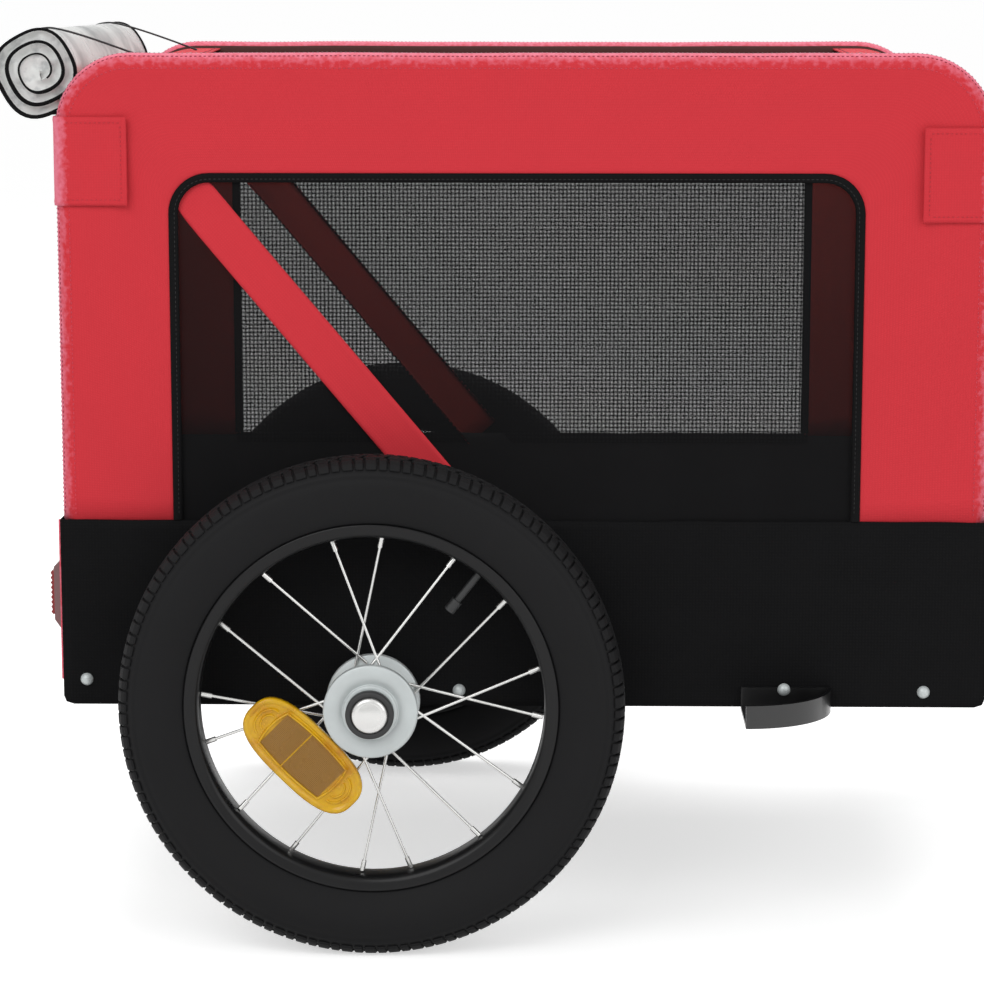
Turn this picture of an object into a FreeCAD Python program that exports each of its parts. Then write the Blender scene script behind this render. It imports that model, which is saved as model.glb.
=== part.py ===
import FreeCAD, Part
import math
import os

os.makedirs("parts", exist_ok=True)
Vec = FreeCAD.Vector

# A dog trailer for a bicycle: steel frame, cloth cabin, two spoked wheels, tow arm on the left.
# X points forward, the right-hand side is -Y, Z is up and the ground is Z = 0.
# All lengths are in millimetres and all angles in degrees.

# Cabin
cabin_length = 648.0
cabin_width = 430.0
cabin_bottom = 165.0
cabin_top = 621.0
cloth = 2.0
seam_gap = 0.5
soft_gap = 0.3
tub_height = 132.0
rear_corner_r = 50.0
front_corner_r = 54.0
foot_corner_r = 14.0

# Side window, its mesh and the diagonal band across it
window_rear_inset = 81.0
window_front_inset = 86.0
window_drop = 82.4
window_corner_r = 28.0
mesh_lap = 8.0
mesh_thickness = 1.0
mesh_hem = 9.0
mesh_strand = 2.0
side_mesh_columns = 25
side_mesh_rows = 12
band_width = 30.0
band_thickness = 3.4
band_top_inset = 98.0
band_top_drop = 100.0
band_foot_inset = 286.0
band_overshoot = 60.0

# Steel frame
rail_width = 18.0
rail_height = 24.0
rail_wall = 1.5
rail_lift = 1.0
frame_inset = 2.5
hoop_r = 8.0
hoop_wall = 1.2
hoop_inset = 4.0
crossbar_r = 7.0
crossbar_wall = 1.2
crossbar_setback = 10.0
floor_thickness = 4.0
floor_gap = 1.5
post_gap = 2.0

# Front and rear flaps, and the cloth over the top corners
flap_top_drop = 47.0
flap_side_inset = 62.0
flap_window_inset = 50.0
flap_window_r = 24.0
flap_mesh_columns = 20
flap_mesh_rows = 14
corner_drop = 5.0
corner_start_drop = 43.0
corner_reach = 22.0
corner_side_gap = 0.5

# Tabs that close the flaps' upper corners
tab_thickness = 1.6
tab_return = 40.0
rear_tab_length = 52.0
rear_tab_top_drop = 44.0
rear_tab_height = 61.0
front_tab_length = 44.0
front_tab_top_drop = 51.0
front_tab_height = 65.0

# Rolled cover and its ties
roll_r = 27.0
roll_behind = 14.5
roll_top_drop = 15.0
roll_end_gap = 1.0
roll_sheet = 3.0
roll_pitch = 7.2
roll_quarters = 12
roll_start_angle = 40.0
tie_r = 0.9
tie_inset = 65.0
tie_anchor = 58.0
tie_foot_drop = 41.0

# Rear reflectors
reflector_height = 48.0
reflector_width = 34.0
reflector_depth = 7.0
reflector_bottom_lift = 53.0
reflector_edge_inset = 8.0
reflector_rim = 3.0
reflector_chamfer = 5.0
reflector_lens = 3.0

# Bolts along the lower rails
bolt_head_r = 4.5
bolt_head_height = 3.4
bolt_shank_r = 2.4
bolt_hole_gap = 0.4
bolt_length = 14.0
post_bolt_inset = 16.5
post_bolt_lift = 17.0
middle_bolt_inset = 279.0
middle_bolt_lift = 10.0
shoe_bolt_inset = 507.0
shoe_bolt_lift = 12.0
front_bolt_inset = 43.0
front_bolt_lift = 10.0
clevis_bolt_spacing = 22.0

# Quarter-round shoe on the right rail
shoe_rear_inset = 477.0
shoe_length = 63.0
shoe_reach = 60.0
shoe_height = 16.0
shoe_wall = 2.5
shoe_drop = 1.5

# Wheels
wheel_r = 175.0
axle_inset = 220.0
track = 516.0
tyre_width = 45.0
tyre_shoulder_r = 168.5
tyre_shoulder_width = 33.0
tyre_belly_r = 154.5
tyre_foot_r = 137.0
tyre_foot_width = 26.0
tyre_wall = 3.6
tyre_tread = 6.5
bead_r = 125.0
bead_gap = 0.5
rim_outer_r = 136.0
rim_bend_r = 123.0
rim_inner_r = 119.0
rim_width = 27.0
rim_base_width = 17.0
rim_sheet = 2.2
tube_r = 15.2
hub_length = 44.0
hub_barrel_r = 15.0
hub_boss_r = 19.0
hub_bore_r = 11.05
flange_r = 32.5
flange_spacing = 32.0
flange_thickness = 3.0
bearing_r = 11.0
bearing_width = 8.0
running_gap = 0.05
spoke_r = 1.0
spoke_seat_r = 27.5
nipple_gap = 0.7
nipple_r = 1.8
nipple_length = 7.5
nipple_angles = (-13.0, 3.7, 28.9, 51.2)
lacing_angles = (30.0, -30.0, -34.0, 30.0)
valve_angle = 38.6
valve_r = 2.6
valve_length = 24.0
valve_cap_r = 4.0
valve_cap_length = 9.0
amber_length = 97.0
amber_width = 42.0
amber_depth = 7.0
amber_angle = 236.0
amber_ring_r = 56.5
amber_tilt = 45.0
amber_lift = 13.9
clip_r = 3.5
clip_gap = 0.8
clip_spokes = ((3, 0), (2, 2))
clip_shares = (0.44, 0.38)

# Quick-release axles
axle_r = 6.0
axle_seat_depth = 8.0
axle_tube_r = 9.0
socket_r = 8.4
socket_flange_r = 16.0
socket_flange = 3.0
socket_nose_r = 10.5
hub_end_gap = 0.6
head_thickness = 2.5
collar_r = 16.6
collar_depth = 10.0
button_r = 12.5
button_depth = 5.0
button_dome = 4.0
button_travel = 4.0

# Tow arm on the left, its clevis and the hitch
arm_r = 11.0
arm_wall = 2.0
arm_side_gap = 1.0
arm_bend_r = 60.0
arm_tail = 9.0
clevis_plate = 3.0
clevis_length = 66.0
clevis_front_inset = 8.0
clevis_bottom = 124.0
clevis_top = 189.0
pivot_inset = 21.0
pivot_height = 152.0
pivot_r = 5.0
pivot_head_r = 8.0
pivot_head = 3.0
stop_r = 3.0
stop_along = 14.0
hitch_reach = 1195.0
crank_length = 85.0
crank_shift = 56.0
hitch_run = 58.0
fork_width = 32.0
fork_height = 40.0
fork_block = 22.0
fork_socket = 16.0
tongue_thickness = 17.0
tongue_gap = 0.5
tongue_eye_r = 14.0
tongue_width = 22.0
tongue_pitch = 26.0
hitch_pin_r = 5.0
hitch_pin_head_r = 8.0
hitch_pin_head = 4.0
hitch_bore_r = 5.0

overrun = 5.0

# Places worked out from the sizes above
side_y = cabin_width / 2
wheel_y = track / 2
tub_top = cabin_bottom + tub_height
tie_ring_r = roll_r + soft_gap + tie_r
overall_length = roll_behind + tie_ring_r + tie_r + hitch_reach
rear_x = roll_behind + tie_ring_r + tie_r - overall_length / 2
front_x = rear_x + cabin_length
axle_x = rear_x + axle_inset
axle_z = wheel_r
inner_y = side_y - cloth
frame_y = inner_y - seam_gap
rail_bottom = cabin_bottom + rail_lift
rail_top = rail_bottom + rail_height
rail_inner_y = frame_y - rail_width
hoop_y = frame_y - hoop_r
hoop_inner_y = hoop_y - hoop_r
flap_y = inner_y - seam_gap
flap_bottom = tub_top + seam_gap
flap_top = cabin_top - flap_top_drop
skin_y = side_y + soft_gap


# Helpers

def right(inner, outer):
    """Span of Y on the right-hand side, from its distances out from the middle."""
    return (-outer, -inner)


def both(half):
    """Span of Y that reaches equally far to each side."""
    return (-half, half)


def box(x, y, z):
    """Block between low and high values on each axis."""
    return Part.makeBox(x[1] - x[0], y[1] - y[0], z[1] - z[0], Vec(x[0], y[0], z[0]))


def rod_y(x, z, y, radius):
    """Round bar along Y."""
    return Part.makeCylinder(radius, y[1] - y[0], Vec(x, y[0], z), Vec(0, 1, 0))


def rod_z(x, y, z, radius):
    """Round bar along Z."""
    return Part.makeCylinder(radius, z[1] - z[0], Vec(x, y, z[0]), Vec(0, 0, 1))


def left(shape):
    """The same piece on the left-hand side."""
    return shape.mirror(Vec(0, 0, 0), Vec(0, 1, 0))


def corner_arc(before, corner, after, radius):
    """Start, middle and end of the tangent arc that rounds a corner."""
    back = (before - corner).normalize()
    ahead = (after - corner).normalize()
    half = back.getAngle(ahead) / 2
    reach = radius / math.tan(half)
    bisector = (back + ahead).normalize()
    centre = corner + bisector * (radius / math.sin(half))
    return corner + back * reach, centre - bisector * radius, corner + ahead * reach


def rounded_wire(points, radii, closed):
    """Straight runs joined by tangent arcs, where a radius of zero keeps the corner."""
    count = len(points)
    stops = []
    for i, point in enumerate(points):
        turns = closed or 0 < i < count - 1
        if turns and radii[i] > 0:
            stops.append(corner_arc(points[i - 1], point, points[(i + 1) % count], radii[i]))
        else:
            stops.append((point, None, point))
    edges = []
    for i, (start, middle, end) in enumerate(stops):
        if middle is not None:
            edges.append(Part.Arc(start, middle, end).toShape())
        if closed or i < count - 1:
            edges.append(Part.LineSegment(end, stops[(i + 1) % count][0]).toShape())
    return Part.Wire(edges)


def plate_xz(corners, y):
    """Flat plate that faces sideways, from (x, z, corner radius) corners."""
    points = [Vec(x, y[0], z) for x, z, radius in corners]
    wire = rounded_wire(points, [radius for x, z, radius in corners], True)
    return Part.Face(wire).extrude(Vec(0, y[1] - y[0], 0))


def plate_yz(corners, x):
    """Flat plate that faces forward, from (y, z, corner radius) corners."""
    points = [Vec(x[0], y, z) for y, z, radius in corners]
    wire = rounded_wire(points, [radius for y, z, radius in corners], True)
    return Part.Face(wire).extrude(Vec(x[1] - x[0], 0, 0))


def pipe(wire, radius):
    """Round solid swept along a wire."""
    first = wire.OrderedEdges[0]
    start = first.valueAt(first.FirstParameter)
    heading = first.tangentAt(first.FirstParameter)
    ring = Part.Wire(Part.makeCircle(radius, start, heading))
    return wire.makePipeShell([ring], True, False)


def hollow_pipe(wire, radius, wall):
    """Round tube swept along a wire."""
    return pipe(wire, radius).cut(pipe(wire, radius - wall))


def net(first, across, up, size, counts, through):
    """Hemmed net: a face with a grid of gaps, given thickness along one direction."""
    wires = [Part.makePolygon([
        first, first + across * size[0], first + across * size[0] + up * size[1],
        first + up * size[1], first])]
    pitch = [(size[i] - 2 * mesh_hem + mesh_strand) / counts[i] for i in range(2)]
    for column in range(counts[0]):
        for row in range(counts[1]):
            low = first + across * (mesh_hem + column * pitch[0]) + up * (mesh_hem + row * pitch[1])
            wide = across * (pitch[0] - mesh_strand)
            tall = up * (pitch[1] - mesh_strand)
            wires.append(Part.makePolygon([low, low + wide, low + wide + tall, low + tall, low]))
    return Part.makeFace(wires, "Part::FaceMakerBullseye").extrude(through)


def save(name, shape):
    """Write one node."""
    if not shape.isValid():
        raise ValueError(name + " is not a valid shape")
    shape.exportStep("parts/" + name + ".step")


def save_pair(name, shape):
    """Write a right-hand node and its mirror image."""
    save(name + "_right", shape)
    save(name + "_left", left(shape))


# Steel frame

def bolt_places(is_left):
    """(x, z) of the bolts along one lower rail."""
    front = (front_x - front_bolt_inset, rail_bottom + front_bolt_lift)
    places = [
        (rear_x + post_bolt_inset, rail_bottom + post_bolt_lift),
        (rear_x + middle_bolt_inset, rail_bottom + middle_bolt_lift),
        front,
    ]
    if is_left:
        places.append((front[0] - clevis_bolt_spacing, front[1]))
    else:
        places.append((rear_x + shoe_bolt_inset, rail_bottom + shoe_bolt_lift))
    return places


def drilled(shape, is_left, y):
    """A right-hand piece with the rail's bolt holes and the axle socket's hole through it."""
    for x, z in bolt_places(is_left):
        shape = shape.cut(rod_y(x, z, y, bolt_shank_r + bolt_hole_gap))
    return shape.cut(rod_y(axle_x, axle_z, y, socket_r + soft_gap))


def make_rail(is_left):
    """Lower side rail, a rectangular tube."""
    x = (rear_x + frame_inset, front_x - frame_inset)
    rail = box(x, right(rail_inner_y, frame_y), (rail_bottom, rail_top))
    bore = box((x[0] - overrun, x[1] + overrun), right(rail_inner_y + rail_wall, frame_y - rail_wall),
               (rail_bottom + rail_wall, rail_top - rail_wall))
    rail = drilled(rail.cut(bore), is_left, right(frame_y - rail_wall - overrun, frame_y + overrun))
    return rail.cut(rod_y(axle_x, axle_z, right(rail_inner_y - overrun, frame_y), socket_r + soft_gap))


def make_cross_rail(x):
    """Tube that joins the side rails at one end of the cabin."""
    bar = box(x, both(rail_inner_y), (rail_bottom, rail_top))
    bore = box((x[0] + rail_wall, x[1] - rail_wall), both(rail_inner_y + overrun),
               (rail_bottom + rail_wall, rail_top - rail_wall))
    return bar.cut(bore)


def make_hoop():
    """Bent tube that holds the edge of one side, from rail to rail."""
    inset = hoop_inset + hoop_r
    points = [
        Vec(rear_x + inset, -hoop_y, rail_top),
        Vec(rear_x + inset, -hoop_y, cabin_top - inset),
        Vec(front_x - inset, -hoop_y, cabin_top - inset),
        Vec(front_x - inset, -hoop_y, rail_top),
    ]
    wire = rounded_wire(points, [0, rear_corner_r - inset, front_corner_r - inset, 0], False)
    return hollow_pipe(wire, hoop_r, hoop_wall)


def make_crossbar(x):
    """Tube between the two hoops, under the cloth of a top corner."""
    z = cabin_top - corner_drop - cloth - soft_gap - crossbar_r
    y = both(hoop_inner_y - soft_gap)
    return rod_y(x, z, y, crossbar_r).cut(rod_y(x, z, y, crossbar_r - crossbar_wall))


def make_floor():
    """Floor board on the rails, notched round the feet of the hoops."""
    x = (rear_x + frame_inset, front_x - frame_inset)
    z = (rail_top, rail_top + floor_thickness)
    board = box(x, both(frame_y - floor_gap), z)
    notch = hoop_inset + 2 * hoop_r + post_gap
    for span in ((x[0] - overrun, rear_x + notch), (front_x - notch, x[1] + overrun)):
        corner = box(span, right(hoop_inner_y - post_gap, side_y), (z[0] - overrun, z[1] + overrun))
        board = board.cut(corner).cut(left(corner))
    return board


def make_bolt(x, z, seat):
    """Domed bolt on the right-hand side, with the underside of its head at the seat."""
    shank = rod_y(x, z, right(seat - bolt_length, seat), bolt_shank_r)
    ball_r = (bolt_head_r ** 2 + bolt_head_height ** 2) / (2 * bolt_head_height)
    ball = Part.makeSphere(ball_r, Vec(x, -(seat + bolt_head_height - ball_r), z))
    head = ball.common(rod_y(x, z, right(seat, seat + bolt_head_height), bolt_head_r))
    return shank.fuse(head)


def make_bolts():
    """All the domed bolts of both rails."""
    bolts = []
    for i, (x, z) in enumerate(bolt_places(False)):
        is_shoe = i == len(bolt_places(False)) - 1
        bolts.append(make_bolt(x, z, skin_y + (shoe_wall if is_shoe else 0)))
    for i, (x, z) in enumerate(bolt_places(True)):
        on_clevis = i >= len(bolt_places(True)) - 2
        bolts.append(left(make_bolt(x, z, skin_y + (clevis_plate if on_clevis else 0))))
    return Part.makeCompound(bolts)


def make_shoe():
    """Quarter-round steel shoe: a back plate, a floor and a wall bent to a quarter circle."""
    rear = rear_x + shoe_rear_inset
    front = rear + shoe_length
    z = (cabin_bottom - shoe_drop, cabin_bottom - shoe_drop + shoe_height)
    back = box((rear, front), right(skin_y, skin_y + shoe_wall), z)

    def quarter(grow, span):
        """Quarter of an ellipse's footprint, drawn from a round disc cut to the corner."""
        disc = Part.makeCylinder(shoe_reach - grow, span[1] - span[0], Vec(0, 0, span[0]))
        corner = box((0, shoe_reach), (-shoe_reach, 0), span)
        stretch = FreeCAD.Matrix()
        stretch.scale((shoe_length - grow) / (shoe_reach - grow), 1, 1)
        shape = disc.common(corner).transformGeometry(stretch)
        return shape.translated(Vec(rear, -skin_y, 0))

    solid = quarter(0, z)
    solid = solid.cut(quarter(shoe_wall, (z[0] + shoe_wall, z[1] + overrun)))
    shoe = back.fuse(solid).removeSplitter()
    x, bolt_z = bolt_places(False)[-1]
    through = right(skin_y - overrun, skin_y + shoe_wall + overrun)
    return shoe.cut(rod_y(x, bolt_z, through, bolt_shank_r + bolt_hole_gap))


# Cloth cabin

def window_corners(grow):
    """(x, z, radius) corners of the side window, made larger by a lap all round."""
    x = (rear_x + window_rear_inset - grow, front_x - window_front_inset + grow)
    top = cabin_top - window_drop + grow
    return [
        (x[0], tub_top - grow, 0), (x[0], top, window_corner_r),
        (x[1], top, window_corner_r), (x[1], tub_top - grow, 0),
    ]


def make_side_panel():
    """Red upper side, an upside-down U round the window."""
    rear_leg, rear_top, front_top, front_leg = window_corners(0)
    low = tub_top + seam_gap
    corners = [
        (rear_x, low, 0), (rear_x, cabin_top, rear_corner_r),
        (front_x, cabin_top, front_corner_r), (front_x, low, 0),
        (front_leg[0], low, 0), front_top, rear_top, (rear_leg[0], low, 0),
    ]
    return plate_xz(corners, right(inner_y, side_y))


def make_tub_side(is_left):
    """Black lower side, with holes for the bolts and the axle socket."""
    corners = [
        (rear_x, cabin_bottom, foot_corner_r), (rear_x, tub_top, 0),
        (front_x, tub_top, 0), (front_x, cabin_bottom, foot_corner_r),
    ]
    y = right(inner_y, side_y)
    return drilled(plate_xz(corners, y), is_left, right(inner_y - overrun, side_y + overrun))


def make_tub_end(x):
    """Black lower panel across one end of the cabin."""
    return box(x, both(flap_y), (cabin_bottom + foot_corner_r, tub_top))


def make_window_mesh():
    """Net sewn behind the side window."""
    low, top = window_corners(mesh_lap)[0], window_corners(mesh_lap)[2]
    y = right(frame_y - mesh_thickness, frame_y)
    first = Vec(low[0], y[0], low[1])
    size = (top[0] - low[0], top[1] - low[1])
    counts = (side_mesh_columns, side_mesh_rows)
    return net(first, Vec(1, 0, 0), Vec(0, 0, 1), size, counts, Vec(0, y[1] - y[0], 0))


def make_window_band():
    """Red diagonal band across the window, outside its mesh."""
    top = Vec(rear_x + band_top_inset, 0, cabin_top - band_top_drop)
    foot = Vec(rear_x + band_foot_inset, 0, tub_top)
    along = (foot - top).normalize()
    side = Vec(along.z, 0, -along.x) * (band_width / 2)
    start = top - along * band_overshoot
    end = foot + along * band_overshoot
    ring = [start - side, end - side, end + side, start + side]
    y = right(frame_y + soft_gap, frame_y + soft_gap + band_thickness)
    strip = plate_xz([(p.x, p.z, 0) for p in ring], y)
    clear = window_corners(-soft_gap)
    return strip.common(plate_xz(clear, y))


def make_flap(x):
    """Red flap across one end of the cabin, with a window in it."""
    y = both(flap_y)
    flap = box(x, y, (flap_bottom, flap_top))
    side = flap_y - flap_side_inset
    low = flap_bottom + flap_window_inset
    top = flap_top - flap_window_inset
    corners = [
        (-side, low, flap_window_r), (side, low, flap_window_r),
        (side, top, flap_window_r), (-side, top, flap_window_r),
    ]
    return flap.cut(plate_yz(corners, (x[0] - overrun, x[1] + overrun)))


def make_flap_mesh(x):
    """Net sewn behind a flap's window."""
    side = flap_y - flap_side_inset + mesh_lap
    low = flap_bottom + flap_window_inset - mesh_lap
    top = flap_top - flap_window_inset + mesh_lap
    size = (2 * side, top - low)
    counts = (flap_mesh_columns, flap_mesh_rows)
    return net(Vec(x[0], -side, low), Vec(0, 1, 0), Vec(0, 0, 1), size, counts, Vec(x[1] - x[0], 0, 0))


def make_tabs(edge, heading, length, z):
    """Two tabs of a flap, each bent round an upright corner of the cabin."""
    def span(near, far):
        """X from two distances behind the cabin's end face, towards the middle."""
        ends = sorted((edge + heading * near, edge + heading * far))
        return (ends[0], ends[1])

    skin = soft_gap + tab_thickness
    outer = box(span(-skin, length), right(side_y - tab_return, side_y + skin), z)
    inner = box(span(-soft_gap, length + overrun), right(side_y - tab_return - overrun, skin_y), z)
    tab = outer.cut(inner)
    return Part.makeCompound([tab, left(tab)])


def make_corner_cloth(edge, heading, corner_r):
    """Cloth that wraps a top corner between the hoops, over a crossbar."""
    radius = corner_r - corner_drop
    centre = Vec(edge + heading * corner_r, -hoop_inner_y + corner_side_gap, cabin_top - corner_r)
    start = math.asin((corner_r - corner_start_drop) / radius)

    def on_arc(size, angle):
        """Point on an arc about the corner's centre."""
        return centre + Vec(-heading * size * math.cos(angle), 0, size * math.sin(angle))

    quarter = math.pi / 2
    middle = (start + quarter) / 2
    thin = radius - cloth
    reach = Vec(heading * corner_reach, 0, 0)
    edges = [
        Part.Arc(on_arc(radius, start), on_arc(radius, middle), on_arc(radius, quarter)).toShape(),
        Part.LineSegment(on_arc(radius, quarter), on_arc(radius, quarter) + reach).toShape(),
        Part.LineSegment(on_arc(radius, quarter) + reach, on_arc(thin, quarter) + reach).toShape(),
        Part.LineSegment(on_arc(thin, quarter) + reach, on_arc(thin, quarter)).toShape(),
        Part.Arc(on_arc(thin, quarter), on_arc(thin, middle), on_arc(thin, start)).toShape(),
        Part.LineSegment(on_arc(thin, start), on_arc(radius, start)).toShape(),
    ]
    return Part.Face(Part.Wire(edges)).extrude(Vec(0, -2 * centre.y, 0))


def make_roll():
    """Rolled cover: a thick sheet wound in quarter turns, along the rear top corner."""
    step = roll_pitch / 4
    quarter = math.pi / 2
    y = -(inner_y - roll_end_gap)
    radius = roll_r - roll_sheet / 2 - (roll_quarters - 1) * step
    angle = math.radians(roll_start_angle)
    centre = Vec(0, 0, 0)
    turns = []
    for i in range(roll_quarters):
        turns.append((Vec(centre), radius, angle))
        angle += quarter
        if i < roll_quarters - 1:
            centre = centre - Vec(math.cos(angle), 0, math.sin(angle)) * step
            radius += step
    home = Vec(rear_x - roll_behind, y, cabin_top - roll_top_drop) - centre

    def point(turn, shift, part):
        """Point of one quarter turn, on the sheet's inner or outer face."""
        middle, size, start = turn
        heading = start + part * quarter
        return home + middle + Vec(math.cos(heading), 0, math.sin(heading)) * (size + shift)

    def face_arc(turn, shift, arc_shares):
        """Arc of one quarter turn on a face of the sheet, through three shares of the turn."""
        return Part.Arc(*[point(turn, shift, share) for share in arc_shares]).toShape()

    half = roll_sheet / 2
    forward_shares = (0, 0.5, 1)
    outer = [face_arc(turn, half, forward_shares) for turn in turns]
    inner = [face_arc(turn, -half, forward_shares[::-1]) for turn in turns]
    tail = Part.LineSegment(point(turns[-1], half, 1), point(turns[-1], -half, 1)).toShape()
    start = Part.LineSegment(point(turns[0], -half, 0), point(turns[0], half, 0)).toShape()
    print("roll: gap between layers", round(roll_pitch - roll_sheet, 2))
    return Part.Face(Part.Wire(outer + [tail] + inner[::-1] + [start])).extrude(Vec(0, -2 * y, 0))


def make_tie():
    """Thin cord from the corner cloth's top, round the roll and back under it."""
    y = -(side_y - tie_inset)
    middle = Vec(rear_x - roll_behind, y, cabin_top - roll_top_drop)
    corner_z = cabin_top - rear_corner_r
    radius = rear_corner_r - corner_drop
    foot_z = cabin_top - tie_foot_drop
    foot_x = rear_x + rear_corner_r - math.sqrt(radius ** 2 - (foot_z - corner_z) ** 2)
    skin = tie_r + soft_gap
    anchor = Vec(rear_x + tie_anchor, y, cabin_top - corner_drop + skin)
    foot = Vec(foot_x - skin, y, foot_z)

    def touch(outside, sign):
        """Point where a line from outside the roll first lies on it."""
        away = outside - middle
        angle = math.atan2(away.z, away.x) + sign * math.acos(tie_ring_r / away.Length)
        return middle + Vec(math.cos(angle), 0, math.sin(angle)) * tie_ring_r

    def between(a, b):
        """Middle of the arc over the roll's back, between two points on it."""
        away = ((a - middle) + (b - middle)).normalize()
        return middle + away * tie_ring_r

    top, bottom = touch(anchor, 1), touch(foot, -1)
    back = middle - Vec(tie_ring_r, 0, 0)
    route = Part.Wire([
        Part.LineSegment(anchor, top).toShape(),
        Part.Arc(top, between(top, back), back).toShape(),
        Part.Arc(back, between(back, bottom), bottom).toShape(),
        Part.LineSegment(bottom, foot).toShape(),
    ])
    tie = pipe(route, tie_r)
    plain_volume = math.pi * tie_r ** 2 * route.Length
    print("tie: length", round(route.Length, 1), "volume share", round(tie.Volume / plain_volume, 4))
    return tie


def make_reflector():
    """Rear reflector on the right: housing and lens."""
    y = right(side_y - reflector_edge_inset - reflector_width, side_y - reflector_edge_inset)
    z = (cabin_bottom + reflector_bottom_lift, cabin_bottom + reflector_bottom_lift + reflector_height)
    seat = rear_x - soft_gap
    block = box((seat - reflector_depth, seat), y, z)
    outer_edges = [e for e in block.Edges if e.BoundBox.XMax < seat - reflector_depth / 2]
    housing = block.makeChamfer(reflector_chamfer, outer_edges)
    rim = reflector_chamfer + reflector_rim
    recess = box((seat - reflector_depth - overrun, seat - reflector_depth + reflector_lens),
                 (y[0] + rim, y[1] - rim), (z[0] + rim, z[1] - rim))
    pocket = rim + soft_gap
    lens = box((seat - reflector_depth - reflector_lens, seat - reflector_depth + reflector_lens),
               (y[0] + pocket, y[1] - pocket), (z[0] + pocket, z[1] - pocket))
    return housing.cut(recess), lens


# Wheels, made on the right

def wheel_point(radius, clock, out):
    """Point of the right wheel: a clock angle from up, seen from outside, and a distance outwards."""
    angle = math.radians(clock)
    return Vec(axle_x + radius * math.sin(angle), -wheel_y - out, axle_z + radius * math.cos(angle))


def spin(edges):
    """Ring turned about the axle from a closed outline drawn above it."""
    face = Part.Face(Part.Wire(edges))
    return face.revolve(Vec(axle_x, 0, axle_z), Vec(0, 1, 0), 360)


def lines(stations):
    """Straight edges through (radius, distance outwards) stations."""
    points = [wheel_point(radius, 0, out) for radius, out in stations]
    return [Part.LineSegment(points[i], points[i + 1]).toShape() for i in range(len(points) - 1)]


def arc(first, middle, last):
    """Arc through three (radius, distance outwards) stations."""
    return Part.Arc(*[wheel_point(radius, 0, out) for radius, out in (first, middle, last)]).toShape()


def flip(station):
    """The same station on the wheel's inner side."""
    return (station[0], -station[1])


def hub_rod(out, radius):
    """Round bar on the right axle, between two distances out from the wheel's middle."""
    return rod_y(axle_x, axle_z, (-wheel_y - out[1], -wheel_y - out[0]), radius)


def make_tyre():
    """Tyre with a hollow for its tube and beads inside the rim."""
    shoulder = (tyre_shoulder_r, tyre_shoulder_width / 2)
    belly = (tyre_belly_r, tyre_width / 2)
    foot = (tyre_foot_r, tyre_foot_width / 2)
    bead_out = rim_width / 2 - rim_sheet - bead_gap
    heel = (tyre_foot_r - bead_gap, bead_out)
    toe = (bead_r, bead_out)
    inner_toe = (bead_r, bead_out - tyre_wall)
    inner_foot = (tyre_foot_r, bead_out - tyre_wall)
    inner_belly = (tyre_belly_r, tyre_width / 2 - tyre_wall)
    crown = (wheel_r, 0)
    inner_crown = (wheel_r - tyre_tread, 0)
    edges = lines([inner_foot, inner_toe, toe, heel, foot])
    edges += [arc(foot, belly, shoulder), arc(shoulder, crown, flip(shoulder))]
    edges += [arc(flip(shoulder), flip(belly), flip(foot))]
    edges += lines([flip(foot), flip(heel), flip(toe), flip(inner_toe), flip(inner_foot)])
    edges += [arc(flip(inner_foot), flip(inner_belly), inner_crown)]
    edges += [arc(inner_crown, inner_belly, inner_foot)]
    return spin(edges)


def make_rim():
    """Single-wall rim, a channel open towards the tyre."""
    edge = (rim_outer_r, rim_width / 2)
    bend = (rim_bend_r, rim_width / 2)
    base = (rim_inner_r, rim_base_width / 2)
    inner_edge = (rim_outer_r, rim_width / 2 - rim_sheet)
    inner_bend = (rim_bend_r + rim_sheet / 2, rim_width / 2 - rim_sheet)
    inner_base = (rim_inner_r + rim_sheet, rim_base_width / 2)
    outline = [edge, bend, base, flip(base), flip(bend), flip(edge)]
    outline += [flip(inner_edge), flip(inner_bend), flip(inner_base), inner_base, inner_bend, inner_edge, edge]
    return spin(lines(outline))


def make_hub():
    """Hub shell: barrel, two flanges and the bosses at its ends."""
    half = hub_length / 2
    hub = hub_rod((-half, half), hub_boss_r)
    gap = (flange_spacing - flange_thickness) / 2
    waist = hub_rod((-gap, gap), hub_boss_r + overrun).cut(hub_rod((-gap, gap), hub_barrel_r))
    hub = hub.cut(waist)
    for middle in (-flange_spacing / 2, flange_spacing / 2):
        hub = hub.fuse(hub_rod((middle - flange_thickness / 2, middle + flange_thickness / 2), flange_r))
    return hub.removeSplitter().cut(hub_rod((-half - overrun, half + overrun), hub_bore_r))


def make_bearings():
    """The two bearings at the ends of the hub."""
    half = hub_length / 2
    rings = []
    for out in ((-half, -half + bearing_width), (half - bearing_width, half)):
        rings.append(hub_rod(out, bearing_r).cut(hub_rod(out, axle_r + running_gap)))
    return Part.makeCompound(rings)


def spoke_ends(quarter, i):
    """Hub end and rim end of one spoke, from alternate flanges."""
    clock = nipple_angles[i] + quarter * 90
    out = (flange_spacing - flange_thickness) / 2 - soft_gap - spoke_r
    seat = wheel_point(spoke_seat_r, clock + lacing_angles[i], out if i % 2 == 0 else -out)
    return seat, wheel_point(rim_inner_r - nipple_gap, clock, 0)


def make_spokes():
    """Crossed spokes, each with its nipple at the rim."""
    spokes = []
    for quarter in range(4):
        for i in range(len(nipple_angles)):
            seat, end = spoke_ends(quarter, i)
            along = (end - seat).normalize()
            length = (end - seat).Length
            wire = Part.makeCylinder(spoke_r, length, seat, along)
            nipple = Part.makeCylinder(nipple_r, nipple_length, end - along * nipple_length, along)
            spokes.append(wire.fuse(nipple))
    return Part.makeCompound(spokes)


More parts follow.
